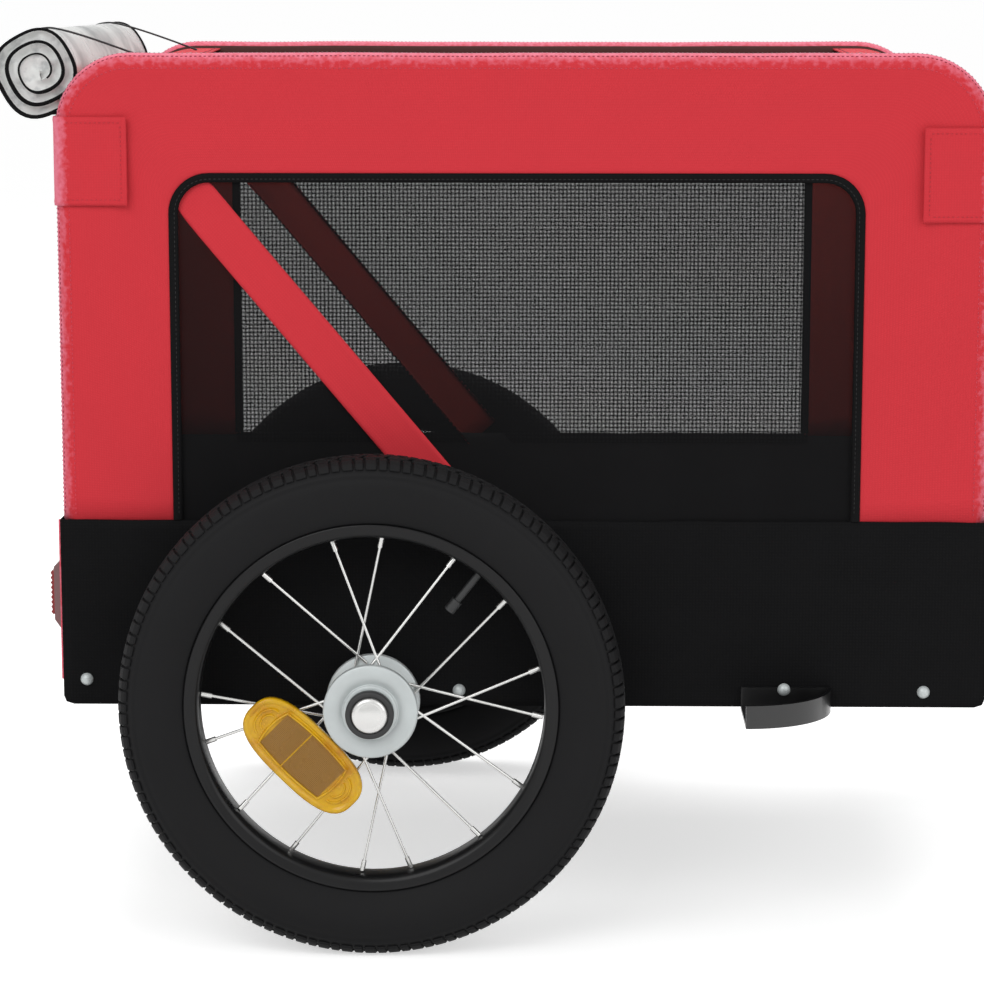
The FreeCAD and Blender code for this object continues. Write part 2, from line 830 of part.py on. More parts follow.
def make_valve():
    """Valve stem and cap, pointing at the hub from inside the rim."""
    start = wheel_point(rim_inner_r - soft_gap, valve_angle, 0)
    inward = (wheel_point(0, 0, 0) - start).normalize()
    stem = Part.makeCylinder(valve_r, valve_length, start, inward)
    cap = Part.makeCylinder(valve_cap_r, valve_cap_length, start + inward * valve_length, inward)
    return stem.fuse(cap)


def make_amber():
    """Amber spoke reflector: a rounded bar with two clips that reach the outer spokes."""
    middle = wheel_point(amber_ring_r, amber_angle, amber_lift)
    half = (amber_length - amber_width) / 2
    bar = Part.makeBox(2 * half, amber_depth, amber_width, middle + Vec(-half, -amber_depth, -amber_width / 2))
    for shift in (-half, half):
        bar = bar.fuse(Part.makeCylinder(amber_width / 2, amber_depth, middle + Vec(shift, 0, 0), Vec(0, -1, 0)))
    bar = bar.removeSplitter()
    bar.rotate(middle, Vec(0, 1, 0), amber_tilt)
    for (quarter, i), share in zip(clip_spokes, clip_shares):
        seat, end = spoke_ends(quarter, i)
        spot = seat + (end - seat) * share
        tip = spot.y - spoke_r - clip_gap
        bar = bar.fuse(rod_y(spot.x, spot.z, (middle.y - amber_depth / 2, tip), clip_r))
    return bar.removeSplitter()


def make_tube_ring():
    """Inner tube inside the tyre."""
    ring_r = wheel_r - tyre_tread - soft_gap - tube_r
    return Part.makeTorus(ring_r, tube_r, wheel_point(0, 0, 0), Vec(0, 1, 0))


# Quick-release axles, made on the right

def make_socket():
    """Bush through the rail that the axle locks into."""
    nose_end = wheel_y - hub_length / 2 - hub_end_gap
    flange_y = skin_y + socket_flange
    socket = rod_y(axle_x, axle_z, right(rail_inner_y, skin_y), socket_r)
    socket = socket.fuse(rod_y(axle_x, axle_z, right(skin_y, flange_y), socket_flange_r))
    socket = socket.fuse(rod_y(axle_x, axle_z, right(flange_y, nose_end), socket_nose_r))
    through = right(rail_inner_y - overrun, nose_end + overrun)
    return socket.cut(rod_y(axle_x, axle_z, through, axle_r + running_gap))


def make_axle():
    """Axle pin with the flat head that carries the collar."""
    head_y = wheel_y + hub_length / 2 + hub_end_gap
    pin = rod_y(axle_x, axle_z, right(rail_inner_y - axle_seat_depth, head_y), axle_r)
    return pin.fuse(rod_y(axle_x, axle_z, right(head_y, head_y + head_thickness), collar_r))


def make_collar():
    """Black ring round the push button."""
    seat = wheel_y + hub_length / 2 + hub_end_gap + head_thickness
    y = right(seat, seat + collar_depth)
    return rod_y(axle_x, axle_z, y, collar_r).cut(rod_y(axle_x, axle_z, y, button_r + running_gap))


def make_button():
    """Domed push button that frees the axle when pressed."""
    edge = wheel_y + hub_length / 2 + hub_end_gap + head_thickness + collar_depth
    disc = rod_y(axle_x, axle_z, right(edge - button_depth, edge), button_r)
    ball_r = (button_r ** 2 + button_dome ** 2) / (2 * button_dome)
    ball = Part.makeSphere(ball_r, Vec(axle_x, -(edge + button_dome - ball_r), axle_z))
    dome = ball.common(rod_y(axle_x, axle_z, right(edge, edge + button_dome), button_r))
    if collar_depth - button_depth < button_travel:
        raise ValueError("the collar is too shallow for the button's travel")
    return disc.fuse(dome)


def make_axle_tube():
    """Tube across the frame that takes both axle pins."""
    y = both(rail_inner_y)
    return rod_y(axle_x, axle_z, y, axle_tube_r).cut(rod_y(axle_x, axle_z, y, axle_r + soft_gap))


# Tow arm and hitch, on the left

arm_y = skin_y + clevis_plate + arm_side_gap + arm_r
pivot = Vec(front_x - pivot_inset, arm_y, pivot_height)
hitch_tip_x = rear_x + hitch_reach
hitch_y = arm_y - crank_shift
hitch_z = fork_height / 2
bore_x = hitch_tip_x - tongue_eye_r
hitch_pin_x = bore_x - tongue_pitch
fork_front = hitch_pin_x + tongue_eye_r
fork_rear = hitch_pin_x - tongue_eye_r - tongue_gap - fork_block
arm_end = fork_rear + fork_socket
crank_end = Vec(arm_end - hitch_run, hitch_y, hitch_z)
crank_begin = Vec(crank_end.x - crank_length, arm_y, hitch_z)
arm_heading = (crank_begin - pivot).normalize()


def make_clevis():
    """U-shaped bracket: inner plate on the rail, outer plate, web behind and a stop bar below the arm."""
    x = (front_x - clevis_front_inset - clevis_length, front_x - clevis_front_inset)
    z = (clevis_bottom, clevis_top)
    inner = (skin_y, skin_y + clevis_plate)
    outer_face = inner[1] + 2 * (arm_side_gap + arm_r)
    outer = (outer_face, outer_face + clevis_plate)
    ear = (pivot.x - arm_tail - 2 * arm_r, x[1])
    clevis = box(x, inner, (rail_bottom, z[1])).fuse(box(ear, inner, z))
    clevis = clevis.fuse(box(ear, outer, (z[0], rail_top)))
    clevis = clevis.fuse(box((ear[0], ear[0] + clevis_plate), (inner[0], outer[1]), (z[0], rail_top)))
    down = Vec(arm_heading.z, 0, -arm_heading.x)
    stop = pivot + arm_heading * stop_along + down * (arm_r + stop_r + soft_gap)
    clevis = clevis.fuse(rod_y(stop.x, stop.z, (inner[0], outer[1]), stop_r)).removeSplitter()
    through = (inner[0] - overrun, outer[1] + overrun)
    clevis = clevis.cut(rod_y(pivot.x, pivot.z, through, pivot_r + running_gap))
    for bolt_x, bolt_z in bolt_places(True)[-2:]:
        hole = rod_y(bolt_x, bolt_z, (inner[0] - overrun, inner[1] + overrun), bolt_shank_r + bolt_hole_gap)
        clevis = clevis.cut(hole)
    return clevis


def make_clevis_pin():
    """Headed pin through the clevis and the arm."""
    inner = skin_y
    outer = skin_y + 2 * (clevis_plate + arm_side_gap + arm_r)
    pin = rod_y(pivot.x, pivot.z, (inner, outer), pivot_r)
    return pin.fuse(rod_y(pivot.x, pivot.z, (outer, outer + pivot_head), pivot_head_r))


def make_arm():
    """Bent tow tube: down from the clevis, across towards the bicycle and level at the hitch."""
    tail = pivot - arm_heading * arm_tail
    points = [tail, crank_begin, crank_end, Vec(arm_end, hitch_y, hitch_z)]
    wire = rounded_wire(points, [0, arm_bend_r, arm_bend_r, 0], False)
    tube = hollow_pipe(wire, arm_r, arm_wall)
    sleeve = rod_y(pivot.x, pivot.z, (pivot.y - arm_r, pivot.y + arm_r), pivot_r + arm_wall)
    through = (pivot.y - arm_r - overrun, pivot.y + arm_r + overrun)
    hole = rod_y(pivot.x, pivot.z, through, pivot_r + running_gap)
    return tube.fuse(sleeve).removeSplitter().cut(hole)


def make_fork():
    """Fork on the arm's end, with a socket for the tube and two cheeks for the hitch pin."""
    y = (hitch_y - fork_width / 2, hitch_y + fork_width / 2)
    z = (0, fork_height)
    nose = rod_z(hitch_pin_x, hitch_y, z, fork_width / 2)
    fork = box((fork_rear, hitch_pin_x), y, z).fuse(nose).removeSplitter()
    slot = (hitch_z - tongue_thickness / 2 - tongue_gap, hitch_z + tongue_thickness / 2 + tongue_gap)
    mouth = box((fork_rear + fork_block, hitch_tip_x), (y[0] - overrun, y[1] + overrun), slot)
    fork = fork.cut(mouth)
    socket = Part.makeCylinder(arm_r + running_gap, fork_socket, Vec(fork_rear, hitch_y, hitch_z), Vec(1, 0, 0))
    through = (z[0] - overrun, z[1] + overrun)
    return fork.cut(socket).cut(rod_z(hitch_pin_x, hitch_y, through, hitch_pin_r + running_gap))


def make_hitch_pin():
    """Headed pin that the hitch tongue turns on."""
    pin = rod_z(hitch_pin_x, hitch_y, (tongue_gap, fork_height), hitch_pin_r)
    return pin.fuse(rod_z(hitch_pin_x, hitch_y, (fork_height, fork_height + hitch_pin_head), hitch_pin_head_r))


def make_tongue():
    """Tongue with an eye at each end: one on the hitch pin, one for the bicycle's hitch bolt."""
    z = (hitch_z - tongue_thickness / 2, hitch_z + tongue_thickness / 2)
    tongue = box((hitch_pin_x, bore_x), (hitch_y - tongue_width / 2, hitch_y + tongue_width / 2), z)
    for x in (hitch_pin_x, bore_x):
        tongue = tongue.fuse(rod_z(x, hitch_y, z, tongue_eye_r))
    tongue = tongue.removeSplitter()
    span = (z[0] - overrun, z[1] + overrun)
    tongue = tongue.cut(rod_z(hitch_pin_x, hitch_y, span, hitch_pin_r + running_gap))
    return tongue.cut(rod_z(bore_x, hitch_y, span, hitch_bore_r))


# Build every node

rear_skin = (rear_x, rear_x + cloth)
front_skin = (front_x - cloth, front_x)
rear_mesh = (rear_skin[1] + soft_gap, rear_skin[1] + soft_gap + mesh_thickness)
front_mesh = (front_skin[0] - soft_gap - mesh_thickness, front_skin[0] - soft_gap)
rear_tab_z = (cabin_top - rear_tab_top_drop - rear_tab_height, cabin_top - rear_tab_top_drop)
front_tab_z = (cabin_top - front_tab_top_drop - front_tab_height, cabin_top - front_tab_top_drop)

save("lower_rail_right", make_rail(False))
save("lower_rail_left", left(make_rail(True)))
save("cross_rails", Part.makeCompound([
    make_cross_rail((rear_x + frame_inset, rear_x + frame_inset + rail_width)),
    make_cross_rail((front_x - frame_inset - rail_width, front_x - frame_inset)),
]))
save_pair("side_hoop", make_hoop())
save("top_crossbars", Part.makeCompound([
    make_crossbar(rear_x + rear_corner_r + crossbar_setback),
    make_crossbar(front_x - front_corner_r - crossbar_setback),
]))
save("floor_board", make_floor())
save("frame_bolts", make_bolts())
save("corner_shoe", make_shoe())

save_pair("side_panel", make_side_panel())
save("tub_side_right", make_tub_side(False))
save("tub_side_left", left(make_tub_side(True)))
save("tub_rear", make_tub_end(rear_skin))
save("tub_front", make_tub_end(front_skin))
save_pair("window_mesh", make_window_mesh())
save_pair("window_band", make_window_band())
save("corner_cloths", Part.makeCompound([
    make_corner_cloth(rear_x, 1, rear_corner_r),
    make_corner_cloth(front_x, -1, front_corner_r),
]))
save("rear_flap", make_flap(rear_skin))
save("front_flap", make_flap(front_skin))
flap_net = make_flap_mesh(rear_mesh)
save("rear_flap_mesh", flap_net)
save("front_flap_mesh", flap_net.translated(Vec(front_mesh[0] - rear_mesh[0], 0, 0)))
save("rear_tabs", make_tabs(rear_x, 1, rear_tab_length, rear_tab_z))
save("front_tabs", make_tabs(front_x, -1, front_tab_length, front_tab_z))
save("cover_roll", make_roll())
roll_tie = make_tie()
save("roll_ties", Part.makeCompound([roll_tie, left(roll_tie)]))
housing, lens = make_reflector()
save("reflector_housings", Part.makeCompound([housing, left(housing)]))
save("reflector_lenses", Part.makeCompound([lens, left(lens)]))

save("axle_tube", make_axle_tube())
for name, make in (("axle_sockets", make_socket), ("axle_pins", make_axle), ("axle_collars", make_collar)):
    one = make()
    save(name, Part.makeCompound([one, left(one)]))
save_pair("release_button", make_button())

save_pair("tyre", make_tyre())
save_pair("inner_tube", make_tube_ring())
save_pair("rim", make_rim())
save_pair("hub", make_hub())
save_pair("bearings", make_bearings())
save_pair("spokes", make_spokes())
save_pair("valve", make_valve())
save_pair("spoke_reflector", make_amber())

save("tow_clevis", make_clevis())
save("clevis_pin", make_clevis_pin())
save("tow_arm", make_arm())
save("hitch_fork", make_fork())
save("hitch_pin", make_hitch_pin())
save("hitch_tongue", make_tongue())

# Axes of the moving pieces
print("rear and front edge", round(rear_x, 3), round(front_x, 3))
print("wheels", round(axle_x, 3), wheel_y, axle_z)
print("flap hinges", round(rear_x, 3), round(front_x, 3), round(tub_top + seam_gap / 2, 3))
print("tow pivot", [round(v, 3) for v in pivot])
print("hitch pin", round(hitch_pin_x, 3), round(hitch_y, 3), hitch_z)
print("hitch bore", round(bore_x, 3), round(hitch_y, 3), hitch_z)
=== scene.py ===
"""Looks of a dog trailer for a bicycle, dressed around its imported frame."""
import logging
import math
from collections.abc import Callable, Sequence
from dataclasses import dataclass, field
from enum import Enum

import bmesh
import bpy
from mathutils import Matrix, Vector, noise


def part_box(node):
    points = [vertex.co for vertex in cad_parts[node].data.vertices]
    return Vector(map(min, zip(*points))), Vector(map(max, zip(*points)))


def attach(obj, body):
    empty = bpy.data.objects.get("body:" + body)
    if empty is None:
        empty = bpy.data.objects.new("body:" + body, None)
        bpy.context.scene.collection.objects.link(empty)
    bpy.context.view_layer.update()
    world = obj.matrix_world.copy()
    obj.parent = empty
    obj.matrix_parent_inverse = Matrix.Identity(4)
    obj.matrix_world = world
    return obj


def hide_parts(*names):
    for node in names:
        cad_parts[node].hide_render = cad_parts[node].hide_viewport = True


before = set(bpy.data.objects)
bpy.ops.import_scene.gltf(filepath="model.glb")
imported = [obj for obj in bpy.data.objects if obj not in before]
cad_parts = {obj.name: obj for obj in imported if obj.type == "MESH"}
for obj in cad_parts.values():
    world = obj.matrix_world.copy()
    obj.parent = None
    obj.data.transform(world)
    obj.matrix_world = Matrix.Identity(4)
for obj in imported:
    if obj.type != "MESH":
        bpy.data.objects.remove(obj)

logging.basicConfig(level=logging.INFO, format="%(message)s")
log = logging.getLogger("trailer")

MM = 0.001
WEAVE = "weave"
WEAR_SHEEN = "fade"
DRESSED = "_finish"
MERGE = 1e-6
STITCH = 2.1 * MM
FINE_THREAD = 0.3 * MM
UP = Vector((0.0, 0.0, 1.0))
BMesh = bmesh.types.BMesh
Piece = bpy.types.Object
Socket = bpy.types.NodeSocket
Row = list[Vector]
Outline = list[tuple[float, float]]
Shares = tuple[float, ...]
Colour = tuple[float, float, float, float]
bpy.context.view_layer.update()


class Side(Enum):
    """The two sides of the trailer, with the sign of their Y."""

    RIGHT = -1
    LEFT = 1

    @property
    def word(self) -> str:
        """The side's name as the frame's nodes end with it."""
        return self.name.lower()

    def at(self, x: float, out: float, z: float) -> Vector:
        """A point that lies a distance out from the trailer's middle plane."""
        return Vector((x, self.value * out, z))

    @property
    def outward(self) -> Vector:
        """Direction away from the trailer's middle plane."""
        return Vector((0.0, float(self.value), 0.0))


class End(Enum):
    """The two ends of the cabin, with the direction that leads inwards from each."""

    REAR = 1
    FRONT = -1

    @property
    def word(self) -> str:
        """The end's name as the frame's nodes begin with it."""
        return self.name.lower()


def linear(red: int, green: int, blue: int) -> Colour:
    """Linear colour of a colour given in display values from 0 to 255.

    Args:
        red, green, blue: The display values.

    Returns:
        The linear colour with full alpha.
    """
    def channel(value: int) -> float:
        """One linear channel."""
        share = value / 255
        return share / 12.92 if share <= 0.04045 else ((share + 0.055) / 1.055) ** 2.4

    return (channel(red), channel(green), channel(blue), 1.0)


# Finishes

class Shader:
    """A material under construction, with short calls for the nodes that the finishes share."""

    def __init__(self, name: str) -> None:
        """Starts a material with one principled shader."""
        self.material = bpy.data.materials.new(name + DRESSED)
        self.material.use_nodes = True
        self.tree = self.material.node_tree
        self.bsdf = self.tree.nodes["Principled BSDF"]

    def node(self, kind: str, **settings: object) -> bpy.types.Node:
        """Adds a node.

        Args:
            kind: The node's type name without its ShaderNode prefix.
            settings: Properties of the node, or constants for inputs of that name.

        Returns:
            The node.
        """
        made = self.tree.nodes.new("ShaderNode" + kind)
        for key, value in settings.items():
            if hasattr(made, key):
                setattr(made, key, value)
            else:
                made.inputs[key.replace("_", " ").title()].default_value = value
        return made

    def join(self, source: Socket, target: Socket) -> None:
        """Links one socket to another."""
        self.tree.links.new(source, target)

    def set(self, **constants: object) -> None:
        """Sets constants on the principled shader's own sockets."""
        for key, value in constants.items():
            self.bsdf.inputs[key.replace("_", " ").title().replace("Ior", "IOR")].default_value = value

    def coordinates(self, scale: float | tuple[float, float, float], uv: bool = False) -> Socket:
        """Scaled place on the piece.

        Args:
            scale: Repeats per metre, alike or for each axis.
            uv: Whether the piece's own cloth map is read, in place of object coordinates.

        Returns:
            The vector socket.
        """
        sizes = scale if isinstance(scale, tuple) else (scale, scale, scale)
        mapping = self.node("Mapping")
        mapping.inputs["Scale"].default_value = sizes
        if uv:
            self.join(self.node("UVMap", uv_map=WEAVE).outputs["UV"], mapping.inputs["Vector"])
        else:
            self.join(self.node("TexCoord").outputs["Object"], mapping.inputs["Vector"])
        return mapping.outputs["Vector"]

    def noise(self, scale: float, detail: float = 3.0, uv: bool = False) -> Socket:
        """Cloudy pattern.

        Args:
            scale: Count of cells per metre.
            detail: Count of finer layers.
            uv: Whether the cloth map is read.

        Returns:
            The pattern's value.
        """
        made = self.node("TexNoise", detail=detail, scale=1.0)
        self.join(self.coordinates(scale, uv), made.inputs["Vector"])
        return made.outputs["Fac"]

    def ramp(self, source: Socket, low: float, high: float,
             to_low: float = 0.0, to_high: float = 1.0) -> Socket:
        """Maps a value from one range to another, held at both ends.

        Args:
            source: The value.
            low, high: The range that it comes in.
            to_low, to_high: The range that it leaves in.

        Returns:
            The mapped value.
        """
        made = self.node("MapRange", clamp=True)
        for name, value in (("From Min", low), ("From Max", high), ("To Min", to_low), ("To Max", to_high)):
            made.inputs[name].default_value = value
        self.join(source, made.inputs["Value"])
        return made.outputs["Result"]

    def math(self, operation: str, first: Socket,
             second: Socket | float) -> Socket:
        """One sum of two values.

        Args:
            operation: The sum, such as ADD.
            first: The first value.
            second: The second value, or a constant.

        Returns:
            The result.
        """
        made = self.node("Math", operation=operation)
        self.join(first, made.inputs[0])
        if isinstance(second, float):
            made.inputs[1].default_value = second
        else:
            self.join(second, made.inputs[1])
        return made.outputs[0]

    def mix(self, share: Socket, first: object, second: object) -> Socket:
        """Mixes two colours, each a constant or a socket, by a share.

        Args:
            share: How much of the second colour there is.
            first, second: The colours.

        Returns:
            The mixed colour.
        """
        made = self.node("Mix", data_type="RGBA")
        self.join(share, made.inputs[0])
        for slot, colour in ((6, first), (7, second)):
            if isinstance(colour, Socket):
                self.join(colour, made.inputs[slot])
            else:
                made.inputs[slot].default_value = colour
        return made.outputs[2]

    def bump(self, height: Socket, depth: float, strength: float = 1.0) -> None:
        """Adds relief to the surface, on top of any that it has.

        Args:
            height: The relief's pattern.
            depth: Its depth in metres.
            strength: How much of it shows, from 0 to 1.
        """
        made = self.node("Bump")
        made.inputs["Strength"].default_value = strength
        made.inputs["Distance"].default_value = depth
        before = self.bsdf.inputs["Normal"].links
        if before:
            self.join(before[0].from_socket, made.inputs["Normal"])
        self.join(height, made.inputs["Height"])
        self.join(made.outputs["Normal"], self.bsdf.inputs["Normal"])

    def colour(self, source: Socket) -> None:
        """Gives the surface its colour."""
        self.join(source, self.bsdf.inputs["Base Color"])

    def roughness(self, source: Socket) -> None:
        """Gives the surface its roughness."""
        self.join(source, self.bsdf.inputs["Roughness"])


def shade(colour: Colour, share: float) -> Colour:
    """A colour made darker or lighter by a share."""
    return (colour[0] * share, colour[1] * share, colour[2] * share, 1.0)


@dataclass(frozen=True)
class Cloth:
    """Woven cloth whose coating pales along its edges: partly wear, partly a painted sheen highlight on
    rounded edges and crests.
    """

    name: str
    tone: Colour
    faded: Colour
    pitch: float = 0.9 * MM
    relief: float = 0.07 * MM
    rough: float = 0.72
    contrast: float = 0.05
    gloss: float = 0.25
    patch_cells: float = 28.0
    patch_relief: float = 0.5 * MM
    slub_cells: float = 420.0
    wear_sheen_cells: float = 240.0
    wear_sheen_spread: float = 0.22

    def weave(self, s: Shader) -> Socket:
        """Warp crossed with weft, each a row of slightly uneven threads."""
        scale = math.pi / (20 * self.pitch)
        threads = []
        for direction in ("X", "Y"):
            wave = s.node("TexWave", bands_direction=direction, wave_profile="SIN", scale=1.0, distortion=0.6,
                          detail=1.0)
            s.join(s.coordinates(scale, True), wave.inputs["Vector"])
            threads.append(wave.outputs["Fac"])
        return s.math("MULTIPLY", *threads)

    def make(self) -> bpy.types.Material:
        """Builds the material."""
        s = Shader(self.name)
        weave = self.weave(s)
        patches = s.noise(self.patch_cells, 4.0, True)
        slubs = s.noise(self.slub_cells, 2.0, True)
        plain = s.mix(s.ramp(weave, 0.0, 0.8), shade(self.tone, 1 - self.contrast), shade(self.tone, 1.03))
        clouded = s.mix(s.ramp(patches, 0.3, 0.75, 0.0, 0.55), plain, shade(self.tone, 0.93))
        # Edge colour: wear mixed with a painted sheen highlight, its strength read from the piece's
        # attribute.
        wear_and_sheen = s.node("Attribute", attribute_name=WEAR_SHEEN).outputs["Fac"]
        speckle = s.ramp(s.noise(self.wear_sheen_cells, 5.0, True), 0.36, 0.66, -self.wear_sheen_spread, self.wear_sheen_spread)
        share = s.ramp(s.math("ADD", wear_and_sheen, speckle), 0.12, 0.95)
        s.colour(s.mix(s.math("MULTIPLY", share, s.ramp(wear_and_sheen, 0.0, 0.1)), clouded, self.faded))
        s.roughness(s.ramp(slubs, 0.2, 0.8, self.rough - 0.06, self.rough + 0.08))
        s.set(specular_ior_level=self.gloss)
        s.bump(weave, self.relief, 0.6)
        s.bump(patches, self.patch_relief, 0.25)
        return s.material


@dataclass(frozen=True)
class Coat:
    """Paint, plating or moulded plastic with a fine skin and slight wear."""

    name: str
    tone: Colour
    metal: float = 0.0
    rough: float = 0.45
    spread: float = 0.08
    grain: float = 900.0
    relief: float = 0.03 * MM
    cloud: float = 30.0
    cloud_share: float = 0.12
    coat: float = 0.0
    coat_rough: float = 0.12
    gloss: float = 0.5

    def make(self) -> bpy.types.Material:
        """Builds the material."""
        s = Shader(self.name)
        fine = s.noise(self.grain, 3.0)
        broad = s.noise(self.cloud, 5.0)
        dark, light = shade(self.tone, 1 - self.cloud_share), shade(self.tone, 1 + self.cloud_share)
        s.colour(s.mix(s.ramp(broad, 0.3, 0.7), dark, light))
        s.roughness(s.ramp(broad, 0.25, 0.75, self.rough - self.spread, self.rough + self.spread))
        s.set(metallic=self.metal, coat_weight=self.coat, coat_roughness=self.coat_rough,
              specular_ior_level=self.gloss)
        s.bump(fine, self.relief, 0.5)
        return s.material


@dataclass(frozen=True)
class Film:
    """Soft clear sheet, milky where it is creased, or tinted moulding that light passes through."""

    name: str
    tone: Colour
    alpha: float = 1.0
    passing: float = 0.0
    rough: float = 0.25
    crease: float = 45.0
    relief: float = 1.2 * MM
    ior: float = 1.46
    mark: Colour = (0.5, 0.5, 0.5, 1.0)

    def make(self) -> bpy.types.Material:
        """Builds the material."""
        s = Shader(self.name)
        creases = s.noise(self.crease, 5.0)
        s.colour(s.mix(s.ramp(creases, 0.5, 0.72), self.tone, self.mark))
        s.roughness(s.ramp(creases, 0.3, 0.7, self.rough - 0.1, self.rough + 0.15))
        s.set(alpha=self.alpha, transmission_weight=self.passing, ior=self.ior)
        s.bump(creases, self.relief, 0.4)
        return s.material


@dataclass(frozen=True)
class Board:
    """Dark coated floor board with a faint grain along its length."""

    name: str
    tone: Colour
    cells: tuple[float, float, float] = (9.0, 160.0, 40.0)
    relief: float = 0.15 * MM

    def make(self) -> bpy.types.Material:
        """Builds the material."""
        s = Shader(self.name)
        texture = s.node("TexNoise", scale=1.0, detail=6.0)
        s.join(s.coordinates(self.cells), texture.inputs["Vector"])
        grain = texture.outputs["Fac"]
        s.colour(s.mix(grain, shade(self.tone, 0.7), shade(self.tone, 1.35)))
        s.roughness(s.ramp(grain, 0.2, 0.8, 0.5, 0.75))
        s.bump(grain, self.relief)
        return s.material


RED = linear(210, 50, 60)
# Pink of the cloth's edges: wear together with a painted sheen highlight on rounded edges.
WORN_SHEEN_PINK = linear(234, 126, 146)
# Backing red, kept bright as painted light that shines through the cloth from behind.
LIT_BRICK = linear(186, 68, 60)
# Painted shade: dark brown for the inner side of the casing, which lies in shade.
SHADE_BROWN = linear(74, 38, 34)
# Grey of the black cloth's backing: painted light that brightens the shaded inside of the black sides.
LIT_SMOKE = linear(58, 58, 59)


class Finish(Enum):
    """Every finish of the trailer, under the record's slot that it belongs to."""

    RED_CLOTH = ("red_cloth", Cloth("red_cloth", RED, WORN_SHEEN_PINK))
    # Painted light: the backing is bright as if lit through the cloth.
    RED_BACKING_LIT = ("red_cloth", Cloth("red_cloth_backing_lit", LIT_BRICK, LIT_BRICK))
    # Painted shade on the casing's inner side.
    DARK_LINING = ("red_cloth", Cloth("dark_lining", SHADE_BROWN, SHADE_BROWN))
    EDGE_THREAD = ("red_cloth", Coat("edge_thread", linear(168, 132, 138), rough=0.8, grain=2500.0))
    RED_THREAD = ("red_cloth", Coat("red_thread", linear(150, 36, 58), rough=0.7, grain=2500.0))
    TAB_THREAD = ("red_cloth", Coat("tab_thread", linear(186, 44, 56), rough=0.7, grain=2500.0))
    PALE_THREAD = ("red_cloth", Coat("pale_thread", linear(202, 62, 78), rough=0.7, grain=2500.0))
    # Painted light: the grey backing lights the shaded inside of the black sides.
    BLACK_BACKING_LIT = ("black_cloth", Cloth("black_cloth_backing_lit", LIT_SMOKE, LIT_SMOKE, gloss=0.06))
    BLACK_CLOTH = ("black_cloth", Cloth("black_cloth", linear(23, 23, 24), linear(52, 52, 54), rough=0.8,
                                        contrast=0.35, relief=0.16 * MM, pitch=1.1 * MM, gloss=0.06))
    BLACK_TAPE = ("black_cloth", Cloth("black_tape", linear(18, 18, 19), linear(50, 50, 52), pitch=0.7 * MM,
                                       contrast=0.4, gloss=0.08))
    BLACK_THREAD = ("black_cloth", Coat("black_thread", linear(25, 25, 26), rough=0.75, grain=2500.0))
    BLACK_NET = ("black_mesh", Coat("black_net", linear(25, 25, 26), rough=0.8, grain=3000.0, gloss=0.05))
    CLEAR_COVER = ("clear_cover", Film("clear_cover", linear(238, 239, 237), alpha=0.66, rough=0.3,
                                       crease=22.0, relief=0.7 * MM, mark=linear(176, 178, 178)))
    # Painted light: pale opaque folds stand in for light passing through the rolled film.
    FILM_FOLDS = ("clear_cover", Film("film_folds", linear(232, 233, 231), rough=0.4, crease=120.0,
                                      mark=linear(188, 190, 190)))
    CORD = ("black_cord", Coat("black_cord", linear(36, 36, 37), rough=0.7, grain=2200.0))
    SHOE_STEEL = ("black_steel", Coat("shoe_steel", linear(10, 10, 11), rough=0.34, coat=0.3, gloss=0.5))
    BLACK_STEEL = ("black_steel", Coat("black_steel", linear(24, 24, 25), rough=0.42, coat=0.1, gloss=0.35))
    ZINC = ("zinc_steel", Coat("zinc_steel", linear(194, 200, 200), metal=0.25, rough=0.42, cloud=55.0,
                               cloud_share=0.05))
    BRIGHT_STEEL = ("bright_steel", Coat("bright_steel", linear(206, 206, 204), metal=0.8, rough=0.24,
                                         cloud_share=0.04))
    TYRE = ("tyre_rubber", Coat("tyre_rubber", linear(25, 25, 26), rough=0.62, grain=1500.0, relief=0.08 * MM,
                                cloud=16.0, cloud_share=0.16, gloss=0.12))
    RUBBER = ("black_rubber", Coat("black_rubber", linear(30, 31, 32), rough=0.5, grain=1200.0))
    RIM = ("black_rim", Coat("black_rim", linear(20, 20, 21), rough=0.32, coat=0.12, cloud=22.0, gloss=0.15))
    AMBER = ("amber", Film("amber", linear(236, 186, 10), passing=0.25, rough=0.2, crease=60.0,
                           relief=0.1 * MM, mark=linear(206, 140, 20)))
    AMBER_PANEL = ("amber", Film("amber_panel", linear(158, 112, 36), passing=0.1, rough=0.25, crease=26.0,
                                 relief=0.1 * MM, mark=linear(146, 104, 34)))
    RED_LENS = ("red_lens", Film("red_lens", linear(168, 22, 26), passing=0.3, rough=0.15, relief=0.1 * MM,
                                 mark=linear(140, 16, 20)))
    DARK_RED = ("dark_red", Coat("dark_red", linear(96, 26, 28), rough=0.4, coat=0.3))
    BOARD = ("board", Board("floor_board", linear(44, 43, 42)))

    @property
    def slot(self) -> str:
        """The record's material slot."""
        return self.value[0]

    def material(self) -> bpy.types.Material:
        """The finish's material, made once."""
        found = bpy.data.materials.get(self.value[1].name + DRESSED)
        return found or self.value[1].make()


# Red cloth with its bright backing, which paints light shining through the cloth.
RED_SHEET = (Finish.RED_CLOTH, Finish.RED_BACKING_LIT)


# Meshes

def add_object(name: str, data: bpy.types.ID) -> Piece:
    """Puts data into the scene as an object of that name."""
    made = bpy.data.objects.new(name, data)
    bpy.context.scene.collection.objects.link(made)
    return made


